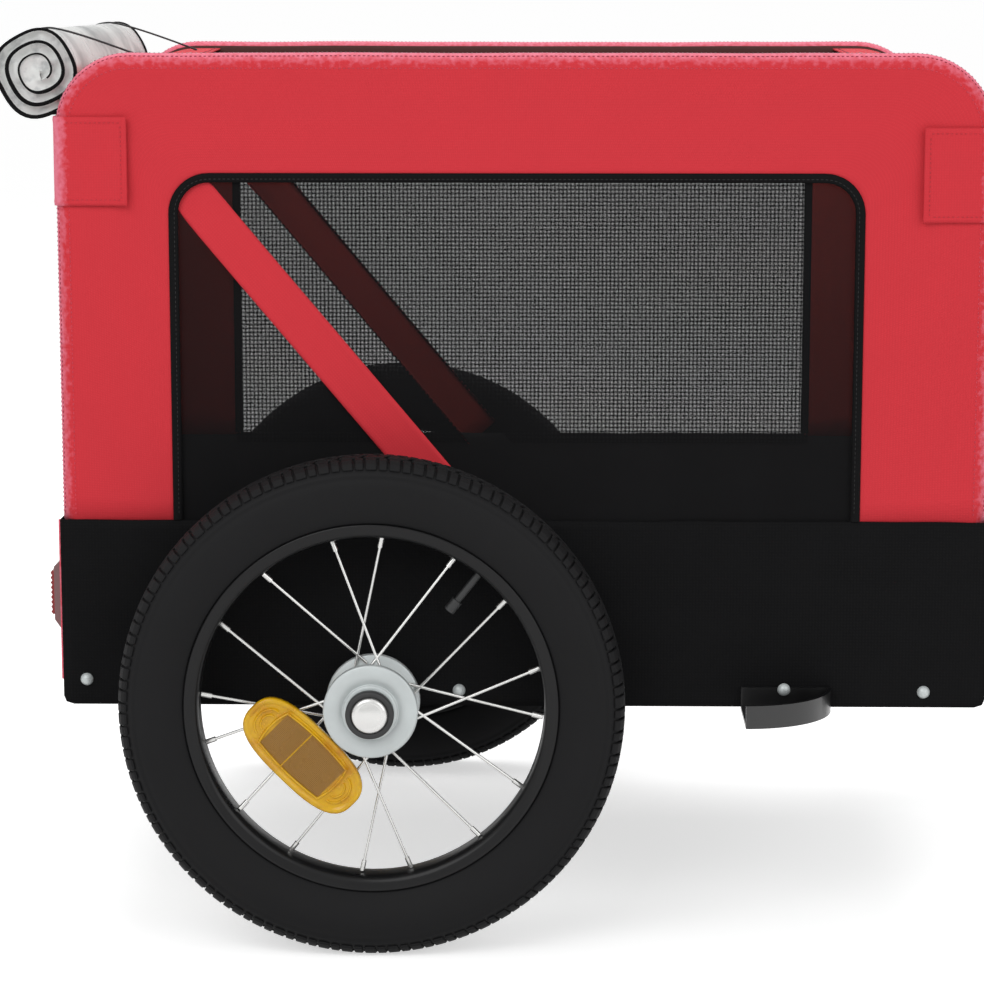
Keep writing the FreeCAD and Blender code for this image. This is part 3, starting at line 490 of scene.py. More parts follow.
def mesh_piece(name: str, bm: BMesh, finishes: Sequence[Finish], body: str,
               smooth: bool = True, outward: Vector | None = None) -> Piece:
    """Turns a finished bmesh into a piece that rides on a body.

    Args:
        name: The piece's name.
        bm: The mesh, which is freed.
        finishes: Its finishes, one material each, in order.
        body: The body that it rides on.
        smooth: Whether its faces are shaded smooth.
        outward: Where an open sheet's faces point, or None to turn a closed shell's faces outwards.

    Returns:
        The piece.
    """
    if outward is None:
        bmesh.ops.recalc_face_normals(bm, faces=bm.faces)
    else:
        bm.normal_update()
        total = sum((f.normal * f.calc_area() for f in bm.faces), Vector())
        if total.dot(outward) < 0:
            bmesh.ops.reverse_faces(bm, faces=bm.faces)
    for face in bm.faces:
        face.smooth = smooth
    mesh = bpy.data.meshes.new(name)
    bm.to_mesh(mesh)
    bm.free()
    piece = add_object(name, mesh)
    for finish in finishes:
        mesh.materials.append(finish.material())
    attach(piece, body)
    finishes[0].slot
    log.info("%s: %d faces on %s", name, len(mesh.polygons), body)
    return piece


def running(points: Sequence[Vector]) -> list[float]:
    """Length along a line of points, up to each of them.

    Args:
        points: The line.

    Returns:
        One length for each point, from 0.
    """
    lengths = [0.0]
    for before, after in zip(points, points[1:]):
        lengths.append(lengths[-1] + (after - before).length)
    return lengths


def grid_of_rows(rows: Sequence[Row], wear_sheen_shares: Sequence[float] | None = None) -> BMesh:
    """A grid laid through rows of points, with its cloth map in metres.

    Args:
        rows: The rows, of equal count.
        wear_sheen_shares: How much each row pales, by wear and a painted sheen highlight, from 0 to 1.

    Returns:
        The mesh, with doubled points merged.
    """
    wide, tall = len(rows[0]) - 1, len(rows) - 1
    bm = bmesh.new()
    bmesh.ops.create_grid(bm, x_segments=wide, y_segments=tall, size=1.0)
    uv = bm.loops.layers.uv.new(WEAVE)
    fade = bm.verts.layers.float.new(WEAR_SHEEN)
    cells = {v: (round((v.co.x + 1) / 2 * wide), round((v.co.y + 1) / 2 * tall)) for v in bm.verts}
    along = running(rows[tall // 2])
    across = running([row[wide // 2] for row in rows])
    for face in bm.faces:
        for loop in face.loops:
            column, line = cells[loop.vert]
            loop[uv].uv = (along[column], across[line])
    for vert, (column, line) in cells.items():
        vert.co = rows[line][column]
        vert[fade] = wear_sheen_shares[line] if wear_sheen_shares else 0.0
    bmesh.ops.remove_doubles(bm, verts=bm.verts, dist=MERGE)
    return bm


def thicken(piece: Piece, thickness: float) -> None:
    """Gives a sheet its thickness inwards, with its second finish on the back if it has one.

    Args:
        piece: The sheet.
        thickness: Its thickness.
    """
    solid = piece.modifiers.new("thickness", "SOLIDIFY")
    solid.thickness = thickness
    solid.offset = -1.0
    solid.use_even_offset = False
    solid.material_offset = 1 if len(piece.data.materials) > 1 else 0


def cloth_piece(name: str, rows: Sequence[Row], finishes: Sequence[Finish], body: str, thickness: float,
                outward: Vector | None = None, wear_sheen_shares: Sequence[float] | None = None) -> Piece:
    """A sheet laid through rows of points.

    Args:
        name: The piece's name.
        rows: The rows, of equal count.
        finishes: Its finish, and that of its back if it has another.
        body: The body that it rides on.
        thickness: Its thickness, which goes inwards.
        outward: Where its face points, or None for a sheet that is wound up.
        wear_sheen_shares: How much each row pales, by wear and a painted sheen highlight, from 0 to 1.

    Returns:
        The piece.
    """
    piece = mesh_piece(name, grid_of_rows(rows, wear_sheen_shares), finishes, body, outward=outward)
    thicken(piece, thickness)
    return piece


def round_edges(piece: Piece, width: float, sharp: float = 35.0) -> None:
    """Breaks a piece's sharp edges.

    Args:
        piece: The piece.
        width: Width of the bevel.
        sharp: The angle in degrees from which an edge is broken.
    """
    bevel = piece.modifiers.new("edges", "BEVEL")
    bevel.width = width
    bevel.segments = 1
    bevel.limit_method = "ANGLE"
    bevel.angle_limit = math.radians(sharp)


def level_line(line: Row, up: Vector) -> tuple[Row, Row]:
    """A line of stitches on a surface that faces one way all along it."""
    return line, [up] * len(line)


def stitches(name: str, lines: Sequence[tuple[Row, Row]], body: str, finish: Finish, pitch: float = 3.2 * MM,
             length: float = STITCH, width: float = 0.42 * MM) -> None:
    """Rows of sewn stitches, each a small bead along its line.

    Args:
        name: The piece's name.
        lines: Pairs of a line's points and the surface's direction at each of them.
        body: The body that the stitches ride on.
        finish: The thread's finish.
        pitch: Length of a stitch and its gap.
        length: Length of a stitch.
        width: Half the thread's thickness.
    """
    places = []
    for points, faces in lines:
        lengths = running(points)
        for k in range(int(lengths[-1] / pitch)):
            goal = (k + 0.5) * pitch
            i = next(j for j in range(len(lengths) - 1) if lengths[j + 1] >= goal)
            share = (goal - lengths[i]) / max(lengths[i + 1] - lengths[i], 1e-9)
            spot = points[i].lerp(points[i + 1], share)
            heading = (points[i + 1] - points[i]).normalized()
            up = faces[i].lerp(faces[i + 1], share).normalized()
            side = heading.cross(up).normalized()
            turn = Matrix((heading * (length / 2), side * width, up * width)).transposed().to_4x4()
            places.append(Matrix.Translation(spot) @ turn)
    mesh_piece(name, batched(places, add_bead), [finish], body)


def add_bead(bm: BMesh, place: Matrix) -> None:
    """Adds one small round bead."""
    bmesh.ops.create_uvsphere(bm, u_segments=6, v_segments=4, radius=1.0, matrix=place)


def add_block(bm: BMesh, place: Matrix) -> None:
    """Adds one block."""
    bmesh.ops.create_cube(bm, size=1.0, matrix=place)


def absorb(whole: BMesh, part: BMesh) -> None:
    """Adds one mesh to another and frees it.

    Args:
        whole: The mesh that grows.
        part: The mesh that is added.
    """
    mesh = bpy.data.meshes.new("part")
    part.to_mesh(mesh)
    part.free()
    whole.from_mesh(mesh)
    bpy.data.meshes.remove(mesh)


def of_kind(geometry: Sequence[object], kind: type) -> list:
    """The vertices, edges or faces among an operator's results."""
    return [item for item in geometry if isinstance(item, kind)]


def batched(places: Sequence[Matrix], add: Callable[[BMesh, Matrix], None],
            size: int = 30) -> BMesh:
    """One mesh of many small shapes, gathered from batches so that it is quick to make.

    Args:
        places: Where each shape goes.
        add: Adds one shape to a mesh.
        size: Count of shapes in a batch.

    Returns:
        The mesh.
    """
    whole = bmesh.new()
    for first in range(0, len(places), size):
        batch = bmesh.new()
        for place in places[first:first + size]:
            add(batch, place)
        absorb(whole, batch)
    return whole


def steps(first: float, last: float, count: int) -> list[float]:
    """Evenly spaced values from first to last."""
    return [first + (last - first) * i / (count - 1) for i in range(count)]


def held(share: float) -> float:
    """A share held between 0 and 1."""
    return min(1.0, max(0.0, share))


def mirrored(profile: Outline) -> Outline:
    """A wheel profile's other half, in the order that carries on from it."""
    return [(radius, -out) for radius, out in reversed(profile)]


@dataclass(frozen=True)
class Ripple:
    """Gentle unevenness of hand-sewn cloth, with how far its waves reach and about how high they stand."""

    reach: float
    size: float

    def at(self, point: Vector) -> float:
        """Its height at a point, up or down."""
        return noise.noise(point / self.reach) * self.size


# Cabin

@dataclass
class Cabin:
    """Sizes of the cabin that its cloth pieces share, read from the frame."""

    rear: float = 0.0
    front: float = 0.0
    top: float = 0.0
    bottom: float = 0.0
    seam: float = 0.0
    half: float = 0.0
    rear_corner: float = 53.5 * MM
    front_corner: float = 57 * MM
    foot_corner: float = 6 * MM
    hoop_inset: float = 12 * MM
    hoop_out: float = 0.0
    leg_points: int = 15
    arc_points: int = 9
    top_points: int = 33

    def __post_init__(self) -> None:
        """Reads the cabin's outline from the frame's nodes."""
        low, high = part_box("side_panel_left")
        self.rear, self.front, self.top = low.x, high.x, high.z
        self.half = high.y
        tub_low, tub_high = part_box("tub_side_left")
        self.bottom, self.seam = tub_low.z, tub_high.z
        hoop_low, hoop_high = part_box("side_hoop_left")
        self.hoop_out = (hoop_low.y + hoop_high.y) / 2

    def corner(self, x: float, z: float, radius: float, first: float, last: float) -> Outline:
        """Points of a rounded corner about its middle, between two angles in degrees and without its ends."""
        turns = [math.radians(angle) for angle in steps(first, last, self.arc_points + 2)[1:-1]]
        return [(x + radius * math.cos(turn), z + radius * math.sin(turn)) for turn in turns]

    def arch(self, rear: float, front: float, top: float, low: float,
             rear_r: float, front_r: float) -> Outline:
        """Points of an upside-down U, in X and Z, from its rear foot to its front foot.

        Args:
            rear, front: Places of the two legs.
            top: Height of the top run.
            low: Height of both feet.
            rear_r, front_r: Radii of the two corners.

        Returns:
            The points, always of the same count.
        """
        points = [(rear, z) for z in steps(low, top - rear_r, self.leg_points)]
        points += self.corner(rear + rear_r, top - rear_r, rear_r, 180, 90)
        points += [(x, top) for x in steps(rear + rear_r, front - front_r, self.top_points)]
        points += self.corner(front - front_r, top - front_r, front_r, 90, 0)
        return points + [(front, z) for z in steps(top - front_r, low, self.leg_points)]

    def edge_arch(self, inset: float, low: float) -> Outline:
        """The arch that lies a distance inside the cabin's outer edge."""
        return self.arch(self.rear + inset, self.front - inset, self.top - inset, low,
                         self.rear_corner - inset, self.front_corner - inset)

    def end_x(self, end: End, inwards: float) -> float:
        """X at a distance inwards from one end of the cabin."""
        return (self.rear if end is End.REAR else self.front) + end.value * inwards


@dataclass(frozen=True)
class Diagonal:
    """Straight band across a window, in X and Z."""

    top: Vector
    foot: Vector
    half: float

    @property
    def along(self) -> Vector:
        """Its direction, downwards."""
        return (self.foot - self.top).normalized()

    def heights_at(self, x: float) -> tuple[float, float]:
        """The heights between its edges at one place along the cabin.

        Args:
            x: The place.

        Returns:
            The low and the high edge.
        """
        middle = self.top.y + (x - self.top.x) * self.along.y / self.along.x
        reach = abs(self.half / self.along.x)
        return middle - reach, middle + reach

    def places_at(self, z: float) -> tuple[float, float]:
        """The places along the cabin between its edges at one height.

        Args:
            z: The height.

        Returns:
            The rear and the front edge.
        """
        middle = self.top.x + (z - self.top.y) * self.along.x / self.along.y
        reach = abs(self.half / self.along.y)
        return middle - reach, middle + reach


@dataclass(frozen=True)
class Net:
    """Black net of crossing strands in an upright rectangle."""

    low: Vector
    high: Vector
    axis: int
    band: Diagonal | None = None
    pitch: float = 0.55 * MM
    strand: float = 0.255 * MM
    half: float = 0.06 * MM
    least: float = 0.1 * MM

    def parts(self, first: float, last: float, gap: tuple[float, float] | None) -> Outline:
        """The parts of a strand that lie outside a gap, or all of it without one.

        Args:
            first, last: The strand's ends.
            gap: The gap's ends, or None.

        Returns:
            The ends of each part.
        """
        if gap is None:
            return [(first, last)]
        parts = [(first, min(last, gap[0])), (max(first, gap[1]), last)]
        return [(a, b) for a, b in parts if b - a > self.least]

    def strand_at(self, centre: tuple[float, float], size: tuple[float, float], lift: float) -> Matrix:
        """Place of one strand as a slim block.

        Args:
            centre: Its middle along the net and its height.
            size: Its size along the net and upwards.
            lift: How far it lies off the net's middle.

        Returns:
            The matrix that makes it from a unit block.
        """
        through = 1 - self.axis
        spot, scale = Vector((0, 0, centre[1])), Vector((0, 0, size[1]))
        spot[self.axis], scale[self.axis] = centre[0], size[0]
        spot[through] = (self.low[through] + self.high[through]) / 2 + lift
        scale[through] = 2 * self.half
        return Matrix.Translation(spot) @ Matrix.Diagonal(scale).to_4x4()

    def build(self, name: str, body: str, node: str) -> None:
        """Args:
            name: The piece's name.
            body: The body that it rides on.
            node: The CAD node that it stands for.
        """
        low, high, axis, strand = self.low, self.high, self.axis, self.strand
        wide, tall = high[axis] - low[axis], high.z - low.z
        columns, lines = int(wide / self.pitch), int(tall / self.pitch)
        places = []
        for i in range(columns + 1):
            place = low[axis] + strand / 2 + (wide - strand) * i / columns
            for foot, top in self.parts(low.z, high.z, self.band and self.band.heights_at(place)):
                centre, size = (place, (foot + top) / 2), (strand, top - foot)
                places.append(self.strand_at(centre, size, self.half / 2))
        for i in range(lines + 1):
            place = low.z + strand / 2 + (tall - strand) * i / lines
            for first, last in self.parts(low[axis], high[axis], self.band and self.band.places_at(place)):
                centre, size = ((first + last) / 2, place), (last - first, strand)
                places.append(self.strand_at(centre, size, -self.half / 2))
        piece = mesh_piece(name, batched(places, add_block), [Finish.BLACK_NET], body, smooth=False)
        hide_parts(node)


@dataclass
class SideWall:
    """One side of the cabin: red panel with its cased edge, bound window, net, band and black lower part."""

    side: Side
    cabin: Cabin
    cloth: float = 1.2 * MM
    casing_r: float = 10.2 * MM
    casing_rise: float = 10.6 * MM
    casing_tail: float = 11 * MM
    casing_turns: int = 13
    casing_ripple: Ripple = Ripple(55 * MM, 0.55 * MM)
    ripple_lane: float = 300 * MM
    sheen_wear_to: float = 140.0
    sheen_wear_fall: float = 1.5
    shade_in: float = 6.5 * MM
    panel_foot: float = 2 * MM
    panel_lap: float = 4.5 * MM
    panel_hollow: float = 0.4 * MM
    panel_ripple: Ripple = Ripple(90 * MM, 0.7 * MM)
    panel_shares: Shares = (0.03, 0.07, 0.12, 0.2, 0.3, 0.42, 0.54, 0.66, 0.78, 0.9, 1.0)
    panel_flat: tuple[float, float] = (0.70, 0.375)
    shoulder_turn: float = 54.0
    foot_turn: float = 4.0
    crest_turn: float = 84.0
    seam_foot: float = 3 * MM
    short_stitch: float = 1.6 * MM
    window_rear: float = 79.6 * MM
    window_front: float = 90 * MM
    window_drop: float = 82.4 * MM
    window_corner: float = 28 * MM
    tape_width: float = 6.5 * MM
    tape_half: float = 1.5 * MM
    tape_foot: float = 0.2 * MM
    tape_crown: float = 1.08
    tape_seam: float = 0.625
    tape_seam_foot: float = 4 * MM
    net_lap: float = 1.0 * MM
    band_half: float = 15 * MM
    band_hem: float = 1.5 * MM
    band_cloth: float = 0.8 * MM
    band_out: float = 9.6 * MM
    band_top_in: float = 98 * MM
    band_top_drop: float = 100 * MM
    band_foot_in: float = 286 * MM
    band_start: float = -0.06
    band_tuck: float = 2.4 * MM
    band_tuck_end: float = 0.091
    band_tuck_run: float = 0.07
    band_ripple: Ripple = Ripple(50 * MM, 0.5 * MM)
    band_turnings: float = 4 * MM
    band_length: float = 0.315
    tub_cloth: float = 1.4 * MM
    tub_ripple: Ripple = Ripple(70 * MM, 0.8 * MM)
    tub_swell: float = 1.4
    tub_taut_from: float = 0.71
    tub_taut: float = 0.15
    hem_ripple: Ripple = Ripple(50 * MM, 1.1 * MM)
    hem_from: float = 0.8
    piping_r: float = 1.1 * MM
    piping_proud: float = 0.2 * MM
    piping_sunk: float = 1.6 * MM
    piping_foot: float = 18 * MM
    piping_fade: float = 0.55

    def window(self, grow: float, low: float) -> Outline:
        """The window's arch, made smaller by a distance."""
        c, corner = self.cabin, self.window_corner - grow
        return c.arch(c.rear + self.window_rear + grow, c.front - self.window_front - grow,
                      c.top - self.window_drop - grow, low, corner, corner)

    @property
    def face(self) -> float:
        """Distance of the red panel's outer face from the middle plane."""
        return self.cabin.hoop_out + self.casing_r

    @property
    def band_ends(self) -> tuple[Vector, Vector]:
        """The band's top and foot, in X and Z."""
        c = self.cabin
        top = Vector((c.rear + self.band_top_in, c.top - self.band_top_drop))
        return top, Vector((c.rear + self.band_foot_in, c.seam))

    def casing_row(self, turn: float, low: float) -> Row:
        """One row of the casing round the hoop.

        Args:
            turn: Angle round the hoop: 0 faces sideways, 90 is the crest, 180 faces inwards.
            low: Height of both feet.

        Returns:
            The row's points.
        """
        angle = math.radians(turn)
        inset = self.cabin.hoop_inset - self.casing_rise * math.sin(angle)
        out = self.cabin.hoop_out + self.casing_r * math.cos(angle)
        row = []
        for x, z in self.cabin.edge_arch(inset, low):
            wave = self.casing_ripple.size + self.casing_ripple.at(self.side.at(x, self.ripple_lane, 0.0))
            row.append(self.side.at(x, out, z + wave * math.sin(angle)))
        return row

    def build_panel(self, tape: Piece) -> None:
        """Red panel, cased round the hoop and flat from there to the window.

        Args:
            tape: The window's tape; not used.
        """
        low = self.cabin.seam - self.panel_foot
        inner = self.cabin.hoop_out - self.casing_r
        tail = self.cabin.hoop_inset + self.casing_tail
        rows = [[self.side.at(x, inner, z) for x, z in self.cabin.edge_arch(tail, low)]]
        wear_sheen_shares = [0.0]
        for turn in steps(180, 0, self.casing_turns):
            rows.append(self.casing_row(turn, low))
            # Edge colour on the casing: wear with a painted sheen highlight, strongest at the crest where
            # light falls.
            crest = max(0.0, math.sin(math.radians(turn)))
            wear_sheen_shares.append(crest ** self.sheen_wear_fall if turn <= self.sheen_wear_to else 0.0)
        edge = self.cabin.edge_arch(self.cabin.hoop_inset, low)
        window = self.window(self.panel_lap, low)
        for share in self.panel_shares:
            row = []
            calm = math.sin(math.pi * share)
            for (x0, z0), (x1, z1) in zip(edge, window):
                spot = Vector((x0 + (x1 - x0) * share, 0, z0 + (z1 - z0) * share))
                swell = (self.panel_ripple.at(spot) - self.panel_hollow) * calm
                row.append(self.side.at(spot.x, self.face + swell, spot.z))
            rows.append(row)
            wear_sheen_shares.append(0.0)
        bm = grid_of_rows(rows, wear_sheen_shares)
        self.shade_inner_half(bm)
        piece = mesh_piece(f"red_panel_{self.side.word}", bm,
                           [Finish.RED_CLOTH, Finish.RED_BACKING_LIT, Finish.DARK_LINING], "chassis",
                           outward=self.side.outward)
        thicken(piece, self.cloth)
        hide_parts(f"side_panel_{self.side.word}")

    def shade_inner_half(self, bm: BMesh) -> None:
        """Gives the painted shade, a dark brown finish, to the part of the casing that faces into the cabin.
        """
        for face in bm.faces:
            if abs(face.calc_center_median().y) < self.cabin.hoop_out - self.shade_in:
                face.material_index = 2

    def build_seams(self) -> None:
        """Stitches along the casing's shoulder, its sewn foot and its crest."""
        low = self.cabin.seam + self.seam_foot
        arch = self.cabin.edge_arch(self.cabin.hoop_inset, low)
        middle = [self.side.at(x, self.cabin.hoop_out, z) for x, z in arch]
        for word, turn, finish, length in (
                ("panel_stitches", self.shoulder_turn, Finish.RED_THREAD, STITCH),
                ("panel_foot_stitches", self.foot_turn, Finish.PALE_THREAD, STITCH),
                ("panel_edge_stitches", self.crest_turn, Finish.EDGE_THREAD, self.short_stitch)):
            row = self.casing_row(turn, low)
            line = (row, [(p - q).normalized() for p, q in zip(row, middle)])
            stitches(f"{word}_{self.side.word}", [line], "chassis", finish, length=length)

    def build_tape(self) -> Piece:
        """Black tape that binds the window's edge, folded over it."""
        low = self.cabin.seam + self.tape_foot
        middle = self.face - self.cloth / 2
        front = [(0.0, 0.2), (0.0, 0.75), (0.175, 1.0), (0.5, self.tape_crown), (0.8, 1.0), (1.0, 0.5)]
        back = [(1.0, -0.5), (0.8, -0.95), (0.5, -1.0), (0.175, -0.95), (0.0, -0.6)]
        rows = []
        for grow, level in front + back + front[:1]:
            path = self.window(grow * self.tape_width, low)
            rows.append([self.side.at(x, middle + level * self.tape_half, z) for x, z in path])
        name = f"window_tape_{self.side.word}"
        piece = mesh_piece(name, grid_of_rows(rows), [Finish.BLACK_TAPE], "chassis")
        top = middle + self.tape_half * self.tape_crown
        path = self.window(self.tape_seam * self.tape_width, low + self.tape_seam_foot)
        line = [self.side.at(x, top, z) for x, z in path]
        stitches(f"window_stitches_{self.side.word}", [level_line(line, self.side.outward)], "chassis",
                 Finish.BLACK_THREAD, width=FINE_THREAD)
        return piece

    def build_net(self) -> None:
        """Black net behind the window, sewn to the band's edges."""
        node = f"window_mesh_{self.side.word}"
        low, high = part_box(node)
        low.x = self.cabin.rear + self.window_rear + self.net_lap
        high.x = self.cabin.front - self.window_front - self.net_lap
        high.z = self.cabin.top - self.window_drop - self.net_lap
        band = Diagonal(*self.band_ends, self.band_half - self.band_hem)
        Net(low, high, 0, band).build(f"window_net_{self.side.word}", "chassis", node)

    def build_band(self) -> None:
        """Red diagonal band over the net, with turned edges and its top tucked behind the panel."""
        node = f"window_band_{self.side.word}"
        top, foot = self.band_ends
        along = (foot - top).normalized()
        across = Vector((-along.y, along.x))
        out = self.cabin.hoop_out + self.band_out
        edge = [(-1.0, -1.2), (-1.0, 0.2), (-0.86, 0.9), (-0.7, 0.55), (-0.3, 0.7)]
        rows = []
        for shift, level in edge + [(-shift, level) for shift, level in reversed(edge)]:
            row = []
            for share in steps(self.band_start, 1.0, 24):
                spot = top + (foot - top) * share + across * (shift * self.band_half)
                bend = self.band_ripple.at(Vector((spot.x, 0, spot.y)))
                tuck = self.band_tuck * held((self.band_tuck_end - share) / self.band_tuck_run)
                row.append(self.side.at(spot.x, out + level * MM + bend - tuck, spot.y))
            rows.append(row)
        piece = cloth_piece(f"diagonal_band_{self.side.word}", rows, RED_SHEET, "chassis", self.band_cloth,
                            self.side.outward)
        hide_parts(node)

    def build_tub(self) -> None:
        """Black lower side with a turned hem, slightly wavy along its top."""
        c = self.cabin
        node = f"tub_side_{self.side.word}"
        rows = []
        for z in steps(c.bottom, c.seam, 23):
            share = (z - c.bottom) / (c.seam - c.bottom)
            swelling = math.sin(math.pi * min(share * self.tub_swell, 1.0))
            calm = swelling if share < self.tub_taut_from else self.tub_taut
            wavy = max(0.0, share - self.hem_from) / (1 - self.hem_from)
            row = []
            for x in steps(c.rear, c.front, 91):
                spot = Vector((x, 0, z))
                corner = Vector((max(c.rear + c.foot_corner, min(x, c.front - c.foot_corner)), 0,
                                 max(c.bottom + c.foot_corner, z)))
                if (spot - corner).length > c.foot_corner:
                    spot = corner + (spot - corner).normalized() * c.foot_corner
                swell = self.tub_ripple.at(spot) * calm
                row.append(self.side.at(spot.x, c.half + swell, spot.z + self.hem_ripple.at(spot) * wavy))
            rows.append(row)
        # The back face takes the grey backing, painted light for the shaded inside.
        piece = cloth_piece(f"black_side_{self.side.word}", rows, [Finish.BLACK_CLOTH, Finish.BLACK_BACKING_LIT],
                            "chassis", self.tub_cloth, self.side.outward)
        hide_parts(node)
        [self.build_piping(end) for end in End]

    def build_piping(self, end: End) -> Piece:
        """Thin red piping down the black side's upright edge at one end.

        Args:
            end: The end of the cabin.

        Returns:
            The piece.
        """
        c = self.cabin
        rows = []
        for angle in steps(0, 360, 9):
            turn = math.radians(angle)
            x = c.end_x(end, -self.piping_proud + self.piping_r * math.cos(turn))
            out = c.half - self.piping_sunk + self.piping_r * math.sin(turn)
            rows.append([self.side.at(x, out, z) for z in steps(c.bottom + self.piping_foot, c.seam, 14)])
        # The piping carries the edge colour: wear with a painted sheen highlight on its rounded face.
        bm = grid_of_rows(rows, [self.piping_fade] * len(rows))
        return mesh_piece(f"{end.word}_piping_{self.side.word}", bm, [Finish.RED_CLOTH], "chassis")

    def build(self) -> None:
        """Builds every piece of the side."""
        self.build_panel(self.build_tape())
        self.build_seams()
        self.build_net()
        self.build_band()
        self.build_tub()


@dataclass
class EndPanels:
    """One end of the cabin: black lower panel, red flap with its net and tabs, and the top corner's cloth."""

    end: End
    cabin: Cabin
    cloth: float = 1.2 * MM
    thread_proud: float = 0.1 * MM
    flap_gap: float = 7 * MM
    flap_in: float = 0.9 * MM
    flap_corner: float = 2 * MM
    flap_dish: float = 0.5 * MM
    flap_ripple: Ripple = Ripple(80 * MM, 0.8 * MM)
    flap_shares: Shares = (0.0, 0.04, 0.1, 0.18, 0.3, 0.45, 0.6, 0.75, 0.88, 1.0)
    flap_fade: float = 0.5
    flap_fade_fall: float = 5.0
    hem: float = 5 * MM
    hem_corner: float = 3 * MM
    side_inset: float = 62 * MM
    window_inset: float = 50 * MM
    window_r: float = 24 * MM
    window_lap: float = 4 * MM
    tape_width: float = 6.5 * MM
    ring_arc: int = 7
    ring_run: int = 17
    ring_gap: float = 20 * MM
    tab_length: float = 52 * MM
    tab_return: float = 40 * MM
    tab_cloth: float = 0.6 * MM
    tab_room: float = 0.75 * MM
    tab_bend: float = 9.5 * MM
    tab_inset: float = 0.1 * MM
    tab_free: float = 15 * MM
    tab_lift: float = 3.2 * MM
    tab_waves: float = 110.0
    tab_wave_share: float = 0.2
    tab_hem_rise: float = 0.35 * MM
    tab_hem_in: float = 2.2 * MM
    tab_hem_half: float = 2.4 * MM
    tab_ripple: Ripple = Ripple(20 * MM, 0.15 * MM)
    tab_fade: float = 0.9
    tab_fade_from: float = 4 * MM
    tab_fade_run: float = 9 * MM
    tab_seam: float = 4.2 * MM
    tab_seam_proud: float = 0.2 * MM
    tab_thread: float = 0.34 * MM
    lower_dish: float = 0.7 * MM
    lower_ripple: Ripple = Ripple(70 * MM, 0.9 * MM)
    lower_seam: float = 6 * MM
    corner_drop: float = 6 * MM
    corner_start: float = 43 * MM
    corner_reach: float = 20 * MM
    corner_hang: float = 2.2 * MM
    corner_ripple: Ripple = Ripple(45 * MM, 0.54 * MM)
    corner_hem_fade: float = 0.3
    corner_fade: float = 0.05
    corner_thread_proud: float = 0.15 * MM

    @property
    def body(self) -> str:
        """The body of this end's flap."""
        return f"{self.end.word}_flap"

    @property
    def outward(self) -> Vector:
        """Direction away from the cabin."""
        return Vector((-float(self.end.value), 0, 0))

    def ring(self, half: float, low: float, top: float, corner: float) -> Outline:
        """Closed rounded rectangle in Y and Z, of a fixed count of points.

        Args:
            half: Half its width.
            low, top: Its heights.
            corner: Radius of its corners.

        Returns:
            The points, with the first again at the end.
        """
        points = []
        for y, z, first in ((half - corner, top - corner, 0), (-half + corner, top - corner, 90),
                            (-half + corner, low + corner, 180), (half - corner, low + corner, 270)):
            for angle in steps(first, first + 90, self.ring_arc):
                turn = math.radians(angle)
                points.append((y + corner * math.cos(turn), z + corner * math.sin(turn)))
        full = []
        for (y0, z0), (y1, z1) in zip(points, points[1:] + points[:1]):
            apart = math.dist((y0, z0), (y1, z1)) > self.ring_gap
            for share in steps(0, 1, self.ring_run)[:-1] if apart else (0.0,):
                full.append((y0 + (y1 - y0) * share, z0 + (z1 - z0) * share))
        return full + full[:1]

    def window(self, low: Vector, high: Vector, inset: float) -> Outline:
        """The flap window's outline, made smaller by an inset, from the flap's corners."""
        return self.ring(high.y - self.side_inset - inset, low.z + self.window_inset + inset,
                         high.z - self.window_inset - inset, self.window_r - inset)

    def build_flap(self) -> None:
        """Red flap with hemmed edges and a taped window."""
        low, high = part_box(self.body)
        half = self.cabin.hoop_out - self.flap_gap
        face = self.cabin.end_x(self.end, self.flap_in)
        edge = self.ring(half, low.z, high.z, self.flap_corner)
        window = self.window(low, high, self.window_lap)
        rows, wear_sheen_shares = [], []
        for share in self.flap_shares:
            row = []
            calm = math.sin(math.pi * share)
            for (y0, z0), (y1, z1) in zip(edge, window):
                spot = Vector((0, y0 + (y1 - y0) * share, z0 + (z1 - z0) * share))
                sunk = (self.flap_dish + self.flap_ripple.at(spot)) * calm
                row.append(Vector((face + self.end.value * sunk, spot.y, spot.z)))
            rows.append(row)
            # The flap's edge pales: wear with a painted sheen highlight on the hemmed edge.
            wear_sheen_shares.append(max(0.0, self.flap_fade - share * self.flap_fade_fall))
        piece = cloth_piece(f"{self.end.word}_flap_cloth", rows, RED_SHEET, self.body, self.cloth,
                            self.outward, wear_sheen_shares)
        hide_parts(self.body)
        self.build_tape(low, high, face)
        path = self.ring(half - self.hem, low.z + self.hem, high.z - self.hem, self.hem_corner)
        line = [Vector((face - self.end.value * self.thread_proud, y, z)) for y, z in path]
        stitches(f"{self.end.word}_flap_stitches", [level_line(line, self.outward)], self.body,
                 Finish.RED_THREAD)

    def build_tape(self, low: Vector, high: Vector, face: float) -> Piece:
        """Black tape round the flap's window.

        Args:
            low, high: The flap's corners.
            face: X of the flap's outer face.

        Returns:
            The piece.
        """
        front = [(0, 0.1), (0, 0.8), (0.2, 1.1), (0.8, 1.1), (1, 0.5)]
        back = [(1, -1.2), (0.8, -1.8), (0.2, -1.8), (0, -1.3)]
        rows = []
        for grow, level in front + back + front[:1]:
            path = self.window(low, high, grow * self.tape_width)
            rows.append([Vector((face - self.end.value * level * MM, y, z)) for y, z in path])
        return mesh_piece(f"{self.end.word}_flap_tape", grid_of_rows(rows), [Finish.BLACK_TAPE], self.body)

    def build_net(self) -> None:
        """Black net in the flap's window."""
        node = f"{self.end.word}_flap_mesh"
        Net(*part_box(node), 1).build(f"{self.end.word}_flap_net", self.body, node)

    @property
    def tab_face(self) -> float:
        """Distance of a tab's outer face from the middle plane."""
        return self.cabin.half + self.tab_cloth + self.tab_room

